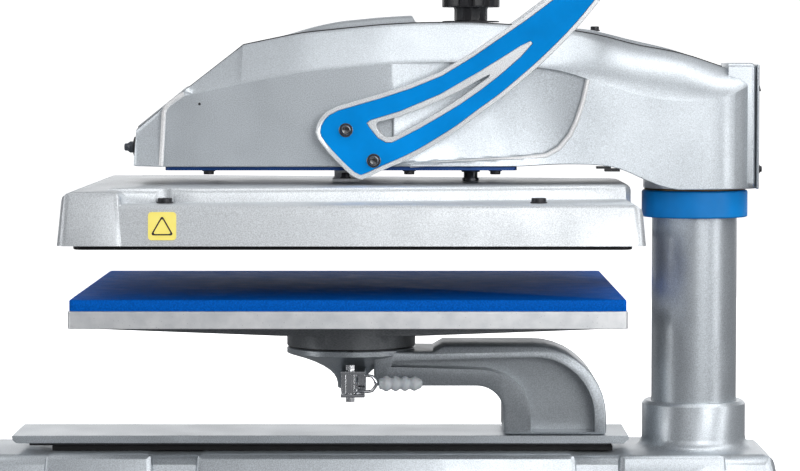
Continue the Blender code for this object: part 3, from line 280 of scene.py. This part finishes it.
# painted highlight: a near-white copy of the silver paint for the edge beads, standing in for their bright
# highlights
PAINTED_HIGHLIGHT_SILVER = silver_paint("painted_highlight_silver_paint", (0.97, 0.975, 0.98), 0.25)
LOOK_OF = {  # pieces whose look is not simply their slot's
    "handle_plate_left": BRIGHT_SILVER,
    "handle_plate_right": BRIGHT_SILVER,
    # a dark navy plate, its colour darkened further as painted shade for the shadow beneath the head
    "head_bottom_plate": coloured_metal("shade_darkened_navy_plate", (0.002, 0.045, 0.20), 0.40),
    "guide_rod": machined("blued_rod", (0.10, 0.105, 0.115), 0.30, (1, 1, 0.04)),
    "thrust_washer": machined("oiled_bronze", (0.16, 0.11, 0.06), 0.45, (1, 1, 1)),
    "front_button": moulded("grey_button", (0.07, 0.08, 0.10), 0.30),
    "guide_bushing": coloured_metal("dark_bushing", (0.010, 0.016, 0.035), 0.35),
    "platen_cover": silver_paint("cover_silver_paint", (0.66, 0.69, 0.715), 0.58, 0.40),
    # painted shade: a darker copy of the silver paint, for the platen's shadow over the arm
    "pedestal_arm": silver_paint("arm_shaded_silver_paint", (0.46, 0.495, 0.525)),
    # painted light: bright steel whose colour is lifted and metal lowered to stand in for the light it
    # would reflect
    "press_yoke": machined("painted_light_yoke", (0.86, 0.87, 0.88), 0.36, (1, 1, 0.05), metallic=0.4),
    "slide_rails": coloured_metal("black_rail", (0.008, 0.008, 0.009), 0.55),
}
SLOT_OF = {entry["node"]: entry["material_slot"] for entry in frame["record"]["subparts"]}
BODY_OF = {node: body for body, nodes in frame["record"]["behaviour"]["bodies"].items()
           for node in nodes}


# ---------------------------------------------------------------- mesh helpers

SMOOTH_DEGREES = 35                  # edges flatter than this are shaded smooth
WELD_DISTANCE = 0.00002
FLAT_ANGLE = math.radians(0.8)       # facets that bend less than this are one face


def piece(name, mesh, look, body, node=None, smooth=SMOOTH_DEGREES):
    """Link a finished mesh, shade it, and make it ride on its body."""
    made = bpy.data.objects.new(name, mesh)
    bpy.context.scene.collection.objects.link(made)
    mesh.materials.clear()
    mesh.materials.append(look)
    mesh.shade_smooth()
    mesh.set_sharp_from_angle(angle=math.radians(smooth))
    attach(made, body)
    if node:
        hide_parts(node)
    return made


def as_mesh(name, bm):
    bmesh.ops.recalc_face_normals(bm, faces=bm.faces)
    mesh = bpy.data.meshes.new(name)
    bm.to_mesh(mesh)
    bm.free()
    return mesh


def refined(node, ease):
    """The CAD node with its facets shaded smooth and its edges eased, as a finished piece."""
    bm = bmesh.new()
    bm.from_mesh(frame["nodes"][node].data)
    bmesh.ops.remove_doubles(bm, verts=bm.verts, dist=WELD_DISTANCE)
    bmesh.ops.dissolve_limit(bm, angle_limit=FLAT_ANGLE, verts=bm.verts, edges=bm.edges)
    look = LOOK_OF.get(node, LOOKS[SLOT_OF[node]])
    made = piece(node + "_finished", as_mesh(node + "_finished", bm), look, BODY_OF[node],
                 node)
    if ease:
        mod = made.modifiers.new("eased", "BEVEL")
        mod.width = ease
        mod.segments = 2
        mod.limit_method = "ANGLE"
        mod.angle_limit = math.radians(SMOOTH_DEGREES)
        mod.use_clamp_overlap = True
        mod.harden_normals = True


def spun(rings, sides=32, shape=None):
    """Turn rings of (radius, height[, share of shape]) about Z; shape(angle) scales the radius."""
    bm = bmesh.new()
    loops = []
    for ring in rings:
        radius, height = ring[0], ring[1]
        share = ring[2] if len(ring) > 2 else 0.0
        loop = []
        for i in range(sides):
            angle = 2 * math.pi * i / sides
            scale = 1 + share * (shape(angle) - 1) if shape else 1
            loop.append(bm.verts.new((radius * scale * math.cos(angle),
                                      radius * scale * math.sin(angle), height)))
        loops.append(loop)
    for loop, after in zip(loops, loops[1:]):
        for i in range(sides):
            following = (i + 1) % sides
            bm.faces.new((loop[i], loop[following], after[following], after[i]))
    bm.faces.new(loops[0])
    bm.faces.new(loops[-1])
    bmesh.ops.recalc_face_normals(bm, faces=bm.faces)
    return bm


WASHER_THICK = 0.0012


def hexagon(angle):
    """How far a hexagon's side is from its centre, for a corner radius of one."""
    return math.cos(math.radians(30)) / math.cos((angle % math.radians(60)) - math.radians(30))


def cap_screw(radius, height, washer=0.0):
    """Socket-head screw on its washer, seat at Z = 0, head towards +Z."""
    base = WASHER_THICK if washer else 0.0
    rings = []
    if washer:
        rings += [(washer - 0.0003, 0), (washer, 0.0003), (washer, base - 0.0002),
                  (washer - 0.0003, base), (radius, base)]
    rings += [(radius, base + 0.0001), (radius, base + height - 0.0007),
              (radius - 0.0002, base + height - 0.0002), (radius - 0.0007, base + height),
              (radius * 0.64, base + height), (radius * 0.58, base + height - 0.0002, 1),
              (radius * 0.56, base + height - height * 0.6, 1), (0.0003, base + height * 0.34)]
    if not washer:
        rings.insert(0, (radius, 0))
    return spun(rings, 36, hexagon)


TURN_BETWEEN_SCREWS = 23             # degrees, so that no two sockets line up


def placed(made, spots, axis):
    """One mesh from copies of a bmesh, at the spots, with its Z turned to the axis."""
    turn = Vector((0, 0, 1)).rotation_difference(Vector(axis)).to_matrix().to_4x4()
    whole = bmesh.new()
    single = bpy.data.meshes.new("single")
    made.to_mesh(single)
    made.free()
    for count, spot in enumerate(spots):
        start = len(whole.verts)
        whole.from_mesh(single)
        whole.verts.ensure_lookup_table()
        spin = Matrix.Rotation(math.radians(TURN_BETWEEN_SCREWS * count), 4, "Z")
        bmesh.ops.transform(whole, matrix=Matrix.Translation(spot) @ turn @ spin,
                            verts=whole.verts[start:])
    bpy.data.meshes.remove(single)
    return whole


def fasteners(name, made, spots, axis, look, body):
    piece(name, as_mesh(name, placed(made, spots, axis)), LOOKS[look], body, smooth=30)


def skin(name, rows, closed_rows=False):
    """Quads over a grid of points: rows of equal length, each an (n, 3) list."""
    bm = bmesh.new()
    grid = [[bm.verts.new(point) for point in row] for row in rows]
    for row, after in zip(grid, grid[1:]):
        for i in range(len(row) - 1):
            bm.faces.new((row[i], row[i + 1], after[i + 1], after[i]))
        if closed_rows:
            bm.faces.new((row[-1], row[0], after[0], after[-1]))
    return bm, grid


# ---------------------------------------------------------------- head shell

# The head's outline along X: x, top, bottom, half-width, shoulder drop.
HEAD = np.array((
    (-0.2182, 0.3640, 0.3603, 0.0660, 0.001),
    (-0.2155, 0.3943, 0.3597, 0.0680, 0.004),
    (-0.1905, 0.4144, 0.3595, 0.0800, 0.004),
    (-0.1680, 0.4325, 0.3595, 0.0800, 0.006),
    (-0.1150, 0.4751, 0.3595, 0.0800, 0.037),
    (-0.0597, 0.4865, 0.3595, 0.0800, 0.038),
    (0.0162, 0.4941, 0.3595, 0.0800, 0.038),
    (0.0500, 0.4960, 0.3595, 0.0790, 0.038),
    (0.1016, 0.4967, 0.3595, 0.0780, 0.038),
    (0.1443, 0.4941, 0.3595, 0.0760, 0.038),
    (0.1879, 0.4908, 0.3618, 0.0730, 0.040),
    (0.2240, 0.4850, 0.3612, 0.0710, 0.046),
    (0.2450, 0.4795, 0.3578, 0.0690, 0.047),
    (0.2640, 0.4745, 0.3483, 0.0670, 0.048),
    (0.2919, 0.4700, 0.3370, 0.0640, 0.048),
    (0.3120, 0.4655, 0.3370, 0.0625, 0.044),
    (0.3388, 0.4562, 0.3370, 0.0596, 0.034),
    (0.3550, 0.4510, 0.3370, 0.0522, 0.022),
    (0.3667, 0.4470, 0.3370, 0.0424, 0.012),
    (0.3768, 0.4432, 0.3370, 0.0302, 0.005),
))
SPINE_START, SPINE_STEP = -0.095, 0.0520     # the raised spine on top, and the step where it ends
SPINE_HEIGHT, SPINE_HALF = 0.0078, 0.036
CREASE_X = 0.0276                            # where the side starts to lean in
SIDE_LEAN = 0.0062                           # how far its foot stands out there
SCOOP_DEPTH = 0.0095
SHOULDER_REACH = 0.038                       # how far in from the side the deepest shoulder goes
SEAM_LIFT = 0.0002                           # the top cover's edge above the shoulder
ARCH_CROWN = 0.0040                          # how far the top swells over the arch
SIDE_STEPS, TOP_STEPS = 66, 8                # points up a side, and from a cover edge to the middle
BEAD_RADIUS = 0.0024
NOSE_BEAD_Y = 0.0793
NOSE_BEAD = ((-0.1912, 0.3604), (-0.1897, 0.3850), (-0.1882, 0.4110), (-0.1868, 0.4148),
             (-0.1832, 0.4188), (-0.1765, 0.4238), (-0.1690, 0.4286))
# The scoop's lower and rear edge on the side, from front to back.
SCOOP = np.array(((0.0200, 0.3598), (0.0447, 0.3612), (0.1018, 0.3643), (0.1494, 0.3671),
                  (0.1740, 0.3700), (0.1860, 0.3768), (0.1965, 0.3895), (0.2030, 0.4038),
                  (0.2090, 0.4225), (0.2132, 0.4420), (0.2150, 0.4900)))
# Shoulder profiles as (inset, share of the drop): at the nose, along the facet and over the column.
NOSE_SHOULDER = ((0, 1), (0.0009, 0.62), (0.0022, 0.30), (0.0042, 0.08), (0.0080, 0.0), (0.0340, 0))
FACET_SHOULDER = ((0, 1), (0.0008, 0.966), (0.0024, 0.91), (0.0060, 0.81), (0.0335, 0.08), (0.0366, 0.015))
ARCH_SHOULDER = ((0, 1), (0.0018, 0.84), (0.0055, 0.65), (0.0120, 0.42), (0.0220, 0.19), (0.0320, 0.05))


def eased_step(value):
    value = np.clip(value, 0.0, 1.0)
    return value * value * (3 - 2 * value)


def head_outline(x):
    """Top, bottom, half-width and drop at x, with soft corners behind the slanted front."""
    reach = 0.012 * eased_step((x + 0.104) / 0.03) * eased_step((0.377 - x) / 0.02)
    corner = 0.0030 * eased_step(1 - abs(x + 0.1905) / 0.008)
    offsets = np.linspace(-1, 1, 9)
    rows = [np.interp(x + reach * offsets, HEAD[:, 0], HEAD[:, i]).mean() for i in (1, 2, 3, 4)]
    if corner > 0:
        rows[2] = np.interp(x + corner * offsets, HEAD[:, 0], HEAD[:, 3]).mean()
    return rows


def scoop_distance(x, z):
    """How far a point on the side is inside the scoop's edge; negative outside."""
    point = np.array((x, z))
    start, end = SCOOP[:-1], SCOOP[1:]
    along = end - start
    share = np.clip(((point - start) * along).sum(1) / (along ** 2).sum(1), 0, 1)
    gap = point - (start + along * share[:, None])
    nearest = np.argmin((gap ** 2).sum(1))
    side = along[nearest][0] * gap[nearest][1] - along[nearest][1] * gap[nearest][0]
    return math.copysign(math.hypot(*gap[nearest]), side)


def pulled_in(x, z, bottom, shoulder):
    """How far the side stands in from the head's half-width at a point."""
    if x < CREASE_X - 0.001:
        return 0.0
    inside = scoop_distance(x, z)
    rise = (z - bottom) / max(0.001, shoulder - bottom)
    lean = SIDE_LEAN * max(0.0, 1 - rise) ** 2.2 * eased_step((x - CREASE_X) / 0.0016)
    lean *= eased_step((0.21 - x) / 0.10)
    fall = min(1.0, max(0.0, (x - CREASE_X) / 0.19))
    depth = SCOOP_DEPTH * (1 - ((fall - 0.55) / 0.55) ** 2)    # steepest at the crease
    return depth * eased_step(inside / 0.0030) - lean


def shoulder_fit(half, drop):
    """A shallow shoulder is a narrow one, and it never takes more than 0.6 of the half-width."""
    return min(half * 0.6 / SHOULDER_REACH, 1.0, drop / 0.034)


def head_row(x):
    """One cross-section from the inner wall of the near side over the top to the far side."""
    top, bottom, half, drop = head_outline(x)
    shoulder = top - drop
    wall = 0.004 + 0.010 * eased_step((x - CREASE_X) / 0.02) * eased_step((0.24 - x) / 0.03)
    side = [(half - wall, bottom + 0.003), (half - wall, bottom + 0.0008),
            (half - wall + 0.0007, bottom), (half - 0.0008, bottom)]
    for i in range(SIDE_STEPS + 1):
        z = bottom + 0.0008 + (shoulder - bottom - 0.0008) * i / SIDE_STEPS
        side.append((half - pulled_in(x, z, bottom, shoulder), z))
    to_facet = eased_step((x + 0.172) / 0.012)
    to_arch = eased_step((x - 0.17) / 0.08)
    fit = shoulder_fit(half, drop)
    for nose, facet, arch in zip(NOSE_SHOULDER, FACET_SHOULDER, ARCH_SHOULDER):
        inset, share = ((1 - to_facet) * nose[i] + to_facet * ((1 - to_arch) * facet[i]
                        + to_arch * arch[i]) for i in (0, 1))
        side.append((half - inset * fit, top - drop * share))
    edge = half - SHOULDER_REACH * fit
    side += [(edge, top), (edge - 0.0008, top + SEAM_LIFT)]
    crown = SPINE_HEIGHT * eased_step((x - SPINE_START) / 0.08) * eased_step((SPINE_STEP - x) / 0.006)
    crown += ARCH_CROWN * eased_step((x - 0.17) / 0.05) * eased_step((0.33 - x) / 0.07)
    for i in range(1, TOP_STEPS + 1):
        across = (edge - 0.0008) * (1 - i / TOP_STEPS)
        side.append((across, top + SEAM_LIFT + crown * max(0.0, 1 - (across / SPINE_HALF) ** 4)))
    near = [(x, -y, z) for y, z in side]
    far = [(x, y, z) for y, z in reversed(side[:-1])]
    return near + far


def head_shell():
    xs = sorted({*HEAD[:, 0], *np.arange(-0.2150, -0.10, 0.0025), *np.arange(-0.10, 0.016, 0.004),
                 *np.arange(0.016, 0.050, 0.0008), *np.arange(0.050, 0.160, 0.0025),
                 *np.arange(0.160, 0.226, 0.0011), *np.arange(0.226, 0.3768, 0.003)})
    bm, grid = skin("head", [head_row(float(x)) for x in xs])
    bm.faces.new(grid[0])
    bm.faces.new(grid[-1])
    block = bmesh.ops.create_cube(bm, size=1.0)["verts"]
    for vert in block:
        vert.co = (0.350 if vert.co.x < 0 else 0.3768, 0.040 * math.copysign(1, vert.co.y),
                   0.3372 if vert.co.z < 0 else 0.4580)
    edges = {edge for vert in block for edge in vert.link_edges
             if abs(edge.verts[0].co.x - edge.verts[1].co.x) > 0.01
             or min(v.co.x for v in edge.verts) > 0.37}
    bmesh.ops.bevel(bm, geom=list(edges), offset=0.0055, segments=6, profile=0.5, affect="EDGES")
    return piece("head_shell_finished", as_mesh("head_shell_finished", bm), LOOKS["silver_paint"],
                 "head", "head_shell", 38)


def edge_beads():
    """The raised round beads along the scoop's edge and up the nose corner, on both sides, painted
    near-white as painted highlights.
    """
    scoop = [(x, head_outline(x)[2] + 0.0004 - 0.0012 * eased_step((z - 0.40) / 0.04), z)
             for x, z in SCOOP if 0.03 < x and z < 0.45]
    nose = [(x, NOSE_BEAD_Y, z) for x, z in NOSE_BEAD]
    bm = bmesh.new()
    for path in (scoop, nose):
        curve = bpy.data.curves.new("bead", "CURVE")
        curve.dimensions = "3D"
        curve.bevel_depth = BEAD_RADIUS
        curve.bevel_resolution = 4
        curve.use_fill_caps = True
        for sign in (-1, 1):
            line = curve.splines.new("POLY")
            line.points.add(len(path) - 1)
            for point, (x, y, z) in zip(line.points, path):
                point.co = (x, sign * y, z, 1)
        carrier = bpy.data.objects.new("bead", curve)
        bm.from_mesh(bpy.data.meshes.new_from_object(carrier))
        bpy.data.objects.remove(carrier)
        bpy.data.curves.remove(curve)
    return piece("head_edge_beads", as_mesh("head_edge_beads", bm), PAINTED_HIGHLIGHT_SILVER, "head",
                 smooth=60)


def seam_strip():
    """The thin dark gasket between the head's sides and its top cover."""
    bm = bmesh.new()
    for sign in (-1, 1):
        rows = []
        for x in np.arange(-0.2150, 0.3480, 0.004):
            top, _, half, drop = head_outline(float(x))
            y = sign * (half - SHOULDER_REACH * shoulder_fit(half, drop) - SEAM_LIFT)
            thick = 0.0004 + 0.0003 * eased_step((x + 0.13) / 0.03)
            rows.append([(x, y + thick * math.cos(a), top + SEAM_LIFT + thick * math.sin(a))
                         for a in np.linspace(0, 2 * math.pi, 7)[:-1]])
        part, _ = skin("seam", rows, True)
        mesh = bpy.data.meshes.new("seam")
        part.to_mesh(mesh)
        part.free()
        bm.from_mesh(mesh)
    return piece("head_seam_gasket", as_mesh("head_seam_gasket", bm), LOOKS["black_plastic"], "head")


# ---------------------------------------------------------------- soft and gripped pieces

PAD_CORNER = 0.0040                  # radius of the pad's corners, seen from above
GRIP_SWELLINGS, KNOB_LOBES, SLEEVE_RINGS = 4, 12, 30

def foam_pad():
    """The silicone foam pad: cut square, its edges slightly swollen and its top a little uneven."""
    low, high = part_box("silicone_pad")
    centre = (low + high) / 2
    half = (high - low) / 2
    rows = []
    for level, grow in ((0.0, -0.0004), (0.12, 0.0), (0.5, 0.0), (0.88, 0.0), (0.97, -0.0003),
                        (1.0, -0.0011)):
        ring = []
        for angle_start, sx, sy in ((0, 1, 1), (90, -1, 1), (180, -1, -1), (270, 1, -1)):
            for i in range(7):
                angle = math.radians(angle_start + 90 * i / 6)
                reach = PAD_CORNER + grow
                ring.append((centre.x + sx * (half.x - PAD_CORNER) + reach * math.cos(angle),
                             centre.y + sy * (half.y - PAD_CORNER) + reach * math.sin(angle)))
        rows.append([(x, y, low.z + (high.z - low.z) * level) for x, y in ring])
    bm, grid = skin("pad", rows, True)
    bm.faces.new(grid[0])
    bm.faces.new(grid[-1])
    made = piece("silicone_pad_finished", as_mesh("silicone_pad_finished", bm),
                 LOOKS["blue_silicone"], "lower_platen", "silicone_pad", 60)
    return made


def bumpy_grip():
    """The dipped handle sleeve: four soft swellings, a rolled mouth and a round end."""
    low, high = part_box("latch_grip")
    centre = (low + high) / 2
    length = high.x - low.x
    radius = (high.z - low.z) / 2
    rings = [(0.0026, 0.0008), (0.0040, 0.0), (0.0052, 0.0006), (0.0055, 0.0018)]
    for i in range(41):
        share = i / 40
        swell = 0.5 - 0.5 * math.cos(2 * math.pi * GRIP_SWELLINGS * share)
        taper = 1 - 0.10 * share
        rings.append(((0.0056 + (radius - 0.0056) * swell ** 0.8) * taper,
                      0.0026 + share * (length - 0.0062)))
    end = rings[-1]
    rings += [(end[0] * math.cos(a), end[1] + 0.0034 * math.sin(a)) for a in (0.4, 0.8, 1.15, 1.4)]
    bm = spun(rings, 32)
    bmesh.ops.transform(bm, matrix=Matrix.Translation((low.x, centre.y, centre.z))
                        @ Matrix.Rotation(math.radians(90), 4, "Y"), verts=bm.verts)
    return piece("latch_grip_finished", as_mesh("latch_grip_finished", bm), LOOKS["grey_vinyl"],
                 "latch", "latch_grip", 60)


def fluted_knob():
    """Hand knob: twelve rounded lobes, eased rims, a dished top with a boss, and a plain neck."""
    low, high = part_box("pressure_knob")
    centre = (low + high) / 2
    outer = (high.x - low.x) / 2
    neck = 0.0153
    skirt = high.z - 0.0424

    def lobes(angle):
        return 1 - 0.125 * max(0.0, math.cos(KNOB_LOBES * angle)) ** 1.4

    rings = [(neck - 0.0006, low.z), (neck, low.z + 0.0006, -0.4), (neck, skirt - 0.0020, -0.4),
             (neck + 0.0016, skirt), (outer * 0.80, skirt, 0.6), (outer * 0.985, skirt, 1),
             (outer * 0.996, skirt + 0.0006, 1), (outer, skirt + 0.0018, 1),
             (outer, high.z - 0.0070, 1), (outer * 0.985, high.z - 0.0032, 1),
             (outer * 0.94, high.z - 0.0008, 1), (outer * 0.86, high.z, 0.8),
             (outer * 0.66, high.z, 0.2), (outer * 0.60, high.z - 0.0016),
             (outer * 0.34, high.z - 0.0024), (outer * 0.30, high.z - 0.0008),
             (outer * 0.26, high.z - 0.0004), (outer * 0.05, high.z - 0.0004)]
    bm = spun(rings, 144, lobes)
    bmesh.ops.transform(bm, matrix=Matrix.Translation((centre.x, centre.y, 0)), verts=bm.verts)
    return piece("pressure_knob_finished", as_mesh("pressure_knob_finished", bm),
                 LOOKS["black_plastic"], "knob", "pressure_knob", 40)


def ribbed_sleeve():
    """The grip's rubber sleeve, with shallow rings along its middle and rolled ends."""
    low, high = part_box("grip_sleeve")
    centre = (low + high) / 2
    radius = (high.z - low.z) / 2
    length = high.y - low.y
    rings = [(0.0104, 0.0006), (0.0112, 0.0), (radius - 0.0030, 0.0), (radius - 0.0008, 0.0010),
             (radius, 0.0034), (radius, 0.0120)]
    groove = radius - 0.0011
    plain_end = 0.0140
    pitch = (length - 2 * plain_end) / SLEEVE_RINGS
    for i in range(SLEEVE_RINGS):
        start = plain_end + i * pitch
        rings += [(radius, start), (radius, start + pitch * 0.55), (groove, start + pitch * 0.68),
                  (groove, start + pitch * 0.86)]
    rings += [(radius, length - 0.0120), (radius, length - 0.0034), (radius - 0.0008, length - 0.0010),
              (radius - 0.0030, length), (0.0112, length), (0.0104, length - 0.0006)]
    bm = spun(rings, 40)
    bmesh.ops.transform(bm, matrix=Matrix.Translation((centre.x, low.y, centre.z))
                        @ Matrix.Rotation(math.radians(-90), 4, "X"), verts=bm.verts)
    return piece("grip_sleeve_finished", as_mesh("grip_sleeve_finished", bm), LOOKS["rubber"],
                 "handle", "grip_sleeve", 40)


# ---------------------------------------------------------------- the finished machine

EASED = {  # node: how far its edges are eased, in metres
    "base_casting": 0.0012, "front_cross_foot": 0.0006, "rear_cross_foot": 0.0006,
    "front_foot_pad": 0.0006, "rear_foot_pad": 0.0006, "column_tube": 0.0006, "column_cap": 0.0004,
    "swing_ring": 0.0004, "thrust_washer": 0.0002, "slide_rails": 0.0003, "drawer_plate": 0.0004,
    "glide_strips": 0.0003, "pedestal_arm": 0.0009, "hub_key_disc": 0.0, "latch_bracket": 0.0006,
    "latch_pivot_bolt": 0.0004, "latch_lever": 0.0003, "lower_platen": 0.0006,
    "head_bottom_plate": 0.0003, "cable_clip": 0.0003, "guide_bushing": 0.0003,
    "screen_bezel": 0.0005, "touch_screen": 0.0003, "front_button_bezel": 0.0003,
    "front_button": 0.0004, "rear_cover": 0.0005, "rocker_frame": 0.0003, "power_rocker": 0.0004,
    "breaker_collar": 0.0003, "breaker_button": 0.0003, "power_inlet": 0.0003,
    "heat_platen": 0.0006, "platen_cover": 0.0010, "warning_label": 0.0, "press_yoke": 0.0006,
    "guide_rod": 0.0003, "handle_plate_left": 0.0006, "handle_plate_right": 0.0006,
    "handle_inlay_left": 0.0001, "handle_inlay_right": 0.0001, "grip_bar": 0.0004,
    "toggle_link": 0.0004, "crank_shaft": 0.0004,
}
DEEP_INSIDE = ("swing_hub", "lower_column_bush", "upper_column_bush", "left_shaft_bush",
               "right_shaft_bush", "pressure_block", "control_board", "heating_element",
               "insulation_blanket", "pressure_spindle")

for node, ease in EASED.items():
    refined(node, ease)
for node in DEEP_INSIDE:
    inside = frame["nodes"][node]
    for material_slot in inside.material_slots:
        material_slot.material = LOOKS[SLOT_OF[node]]

head_shell()
edge_beads()
seam_strip()
foam_pad()
bumpy_grip()
fluted_knob()
ribbed_sleeve()


# ---------------------------------------------------------------- fasteners and marks

HANDLE_BOLTS = ((-0.0157, 0.3947), (0.0105, 0.3660))     # x and z on the handle's foot
HEAD_TOP_SCREW = (0.2240, 0.0, 0.4886)
SET_SCREW = (-0.1545, 0.0799, 0.4190)                    # on the far side; mirrored on the near one
COVER_LEDGE = 0.3297                                     # height of the ledge the cover's screws sit on

for side, sign in (("right", -1), ("left", 1)):
    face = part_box(f"handle_inlay_{side}")[0 if sign < 0 else 1].y
    spots = [(x, face, z) for x, z in HANDLE_BOLTS]
    fasteners(f"handle_bolts_{side}", cap_screw(0.0047, 0.0042, 0.0066), spots, (0, sign, 0),
              "burnished", "handle")

plate_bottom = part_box("head_bottom_plate")[0].z
spots = [(x, y, plate_bottom) for x in (-0.147, 0.044, 0.126) for y in (-0.062, 0.062)]
fasteners("bottom_plate_screws", cap_screw(0.0050, 0.0030, 0.0063), spots, (0, 0, -1),
          "black_steel", "head")
fasteners("head_top_screw", cap_screw(0.0042, 0.0034, 0.0052), [HEAD_TOP_SCREW], (0, 0, 1),
          "black_steel", "head")
for side, sign in (("side", -1), ("far", 1)):
    spots = [(SET_SCREW[0], sign * SET_SCREW[1], SET_SCREW[2])]
    fasteners(f"head_{side}_set_screws", cap_screw(0.0014, 0.0005), spots, (0, sign, 0),
              "black_steel", "head")

knob_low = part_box("pressure_knob")[0]
rod_x = sum(corner.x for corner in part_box("guide_rod")) / 2
washer = spun([(0.0090, 0), (0.0274, 0), (0.0277, 0.0003), (0.0277, 0.0009), (0.0274, 0.0012),
               (0.0090, 0.0012)], 64)
fasteners("knob_washer", washer, [(rod_x, 0, knob_low.z - 0.0013)], (0, 0, 1), "black_steel", "head")

spots = [(x, y, COVER_LEDGE) for x in (-0.180, 0.1625) for y in (-0.178, 0.178)]
fasteners("cover_screws", cap_screw(0.0068, 0.0034, 0.0078), spots, (0, 0, 1), "black_steel", "platen")

yoke_low, yoke_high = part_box("press_yoke")
spots = [((yoke_low.x + yoke_high.x) / 2, y, yoke_low.z + 0.0033) for y in (-0.0185, 0.0185)]
fasteners("yoke_bolts", cap_screw(0.0040, 0.0040, 0.0052), spots, (0, 0, 1), "black_steel", "platen")

rear_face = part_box("rear_cover")[1].x
spots = [(rear_face, y, 0.3560) for y in (-0.034, 0.034)]
fasteners("rear_cover_screws", cap_screw(0.0030, 0.0020, 0.0042), spots, (1, 0, 0), "black_steel",
          "head")
for end in ("front", "rear"):
    low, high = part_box(f"{end}_cross_foot")
    spots = [((low.x + high.x) / 2, y, high.z) for y in (-0.115, 0.115)]
    fasteners(f"{end}_foot_bolts", cap_screw(0.0075, 0.0070, 0.0100), spots, (0, 0, 1),
              "black_steel", "root")


MARK_OUTER, MARK_INNER = 0.84, 0.66      # the triangle's corners, in shares of half the label's height
MARK_THICK = 0.0002


def label_mark():
    """A plain black triangle outline on the yellow square."""
    low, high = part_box("warning_label")
    centre = (low + high) / 2
    half = (high.z - low.z) / 2
    lean = (high.y - low.y - 0.0004) / (high.z - low.z)
    bm = bmesh.new()

    def ring(reach, y_off):
        loop = []
        for i in range(3):
            corner = Vector((math.cos(math.radians(90 + 120 * i)), math.sin(math.radians(90 + 120 * i))))
            for turn in (-50, -20, 20, 50):
                aim = math.radians(90 + 120 * i + turn)
                point = corner * reach * 0.86 + Vector((math.cos(aim), math.sin(aim))) * reach * 0.14
                x, z = point.x * half, (point.y - 0.18) * half
                y = centre.y + lean * z - 0.0002 - y_off
                loop.append(bm.verts.new((centre.x + x, y, centre.z + z)))
        return loop

    rings = [ring(MARK_OUTER, 0.0), ring(MARK_OUTER, MARK_THICK), ring(MARK_INNER, MARK_THICK),
             ring(MARK_INNER, 0.0)]
    for loop, after in zip(rings, rings[1:] + rings[:1]):
        for i in range(12):
            bm.faces.new((loop[i], loop[(i + 1) % 12], after[(i + 1) % 12], after[i]))
    return piece("warning_label_mark", as_mesh("warning_label_mark", bm), LOOKS["black_plastic"],
                 "platen")


label_mark()


# ---------------------------------------------------------------- floor, light and camera

def studio():
    """A pale floor that sweeps up into a round white backdrop, closed overhead."""
    look = Look("studio_floor", 0.75, Emission_Color=(1.0, 1.0, 1.0, 1.0), Emission_Strength=1.0)
    look.colour(look.blend(look.ranged(look.noise(0.8, 2), 0.0, 1.0), (0.86, 0.86, 0.865),
                           (0.90, 0.90, 0.905)))
    sweep = [(10.0 + 4.0 * math.sin(math.radians(a)), 4.0 - 4.0 * math.cos(math.radians(a)))
             for a in range(0, 91, 10)]
    profile = [(0.5, 0.0), (3.0, 0.0), *sweep, (13.0, 11.0), (8.0, 15.0), (0.5, 16.0)]
    rows = [[(r * math.cos(math.radians(a)), r * math.sin(math.radians(a)), z)
             for a in range(0, 360, 6)] for r, z in profile]
    bm, grid = skin("studio", rows, True)
    bm.faces.new(grid[0])
    bm.faces.new(grid[-1])
    floor = bpy.data.objects.new("studio_floor", as_mesh("studio_floor", bm))
    floor.data.materials.append(look.material)
    floor.data.shade_smooth()
    bpy.context.scene.collection.objects.link(floor)
    floor.visible_diffuse = False
    floor.visible_glossy = False
    floor.visible_shadow = False


def soft_box(name, place, target, size, power):
    light = bpy.data.lights.new(name, "AREA")
    light.shape = "RECTANGLE"
    light.size, light.size_y = size
    light.energy = power
    made = bpy.data.objects.new(name, light)
    made.location = place
    made.visible_camera = False
    made.rotation_euler = (Vector(target) - Vector(place)).to_track_quat("-Z", "Y").to_euler()
    bpy.context.scene.collection.objects.link(made)


studio()
middle = (0.0, 0.0, 0.30)
soft_box("top_box", (0.0, -0.3, 2.6), (0.0, -0.3, 0.3), (4.4, 5.4), 30)
soft_box("top_right_box", (1.3, -0.3, 2.55), (0.4, -0.2, 0.4), (1.2, 3.4), 30)
soft_box("key_box", (1.35, -2.9, 1.1), middle, (1.8, 1.8), 31)
soft_box("right_box", (2.6, -1.5, 0.8), middle, (0.7, 1.8), 15)
soft_box("left_box", (-2.4, -0.9, 0.8), middle, (0.6, 1.8), 11)
soft_box("front_fill", (-0.3, -4.6, 1.9), middle, (4.4, 2.2), 25)
soft_box("back_box", (0.0, 3.0, 0.85), (0.0, 0.0, 0.5), (6.0, 1.5), 29)

world = bpy.data.worlds.new("studio_world")
world.use_nodes = True
world.node_tree.nodes["Background"].inputs["Color"].default_value = (0.93, 0.95, 1.0, 1.0)
world.node_tree.nodes["Background"].inputs["Strength"].default_value = 0.18
scene = bpy.context.scene
scene.world = world
scene.view_settings.view_transform = "Standard"

camera = bpy.data.objects.new("camera", bpy.data.cameras.new("camera"))
camera.data.sensor_width = 36
camera.data.lens = 141.43
camera.location = (0.039, -3.055, 0.459)
camera.rotation_euler = (math.radians(86.834), 0, math.radians(0.073))
scene.collection.objects.link(camera)
scene.camera = camera
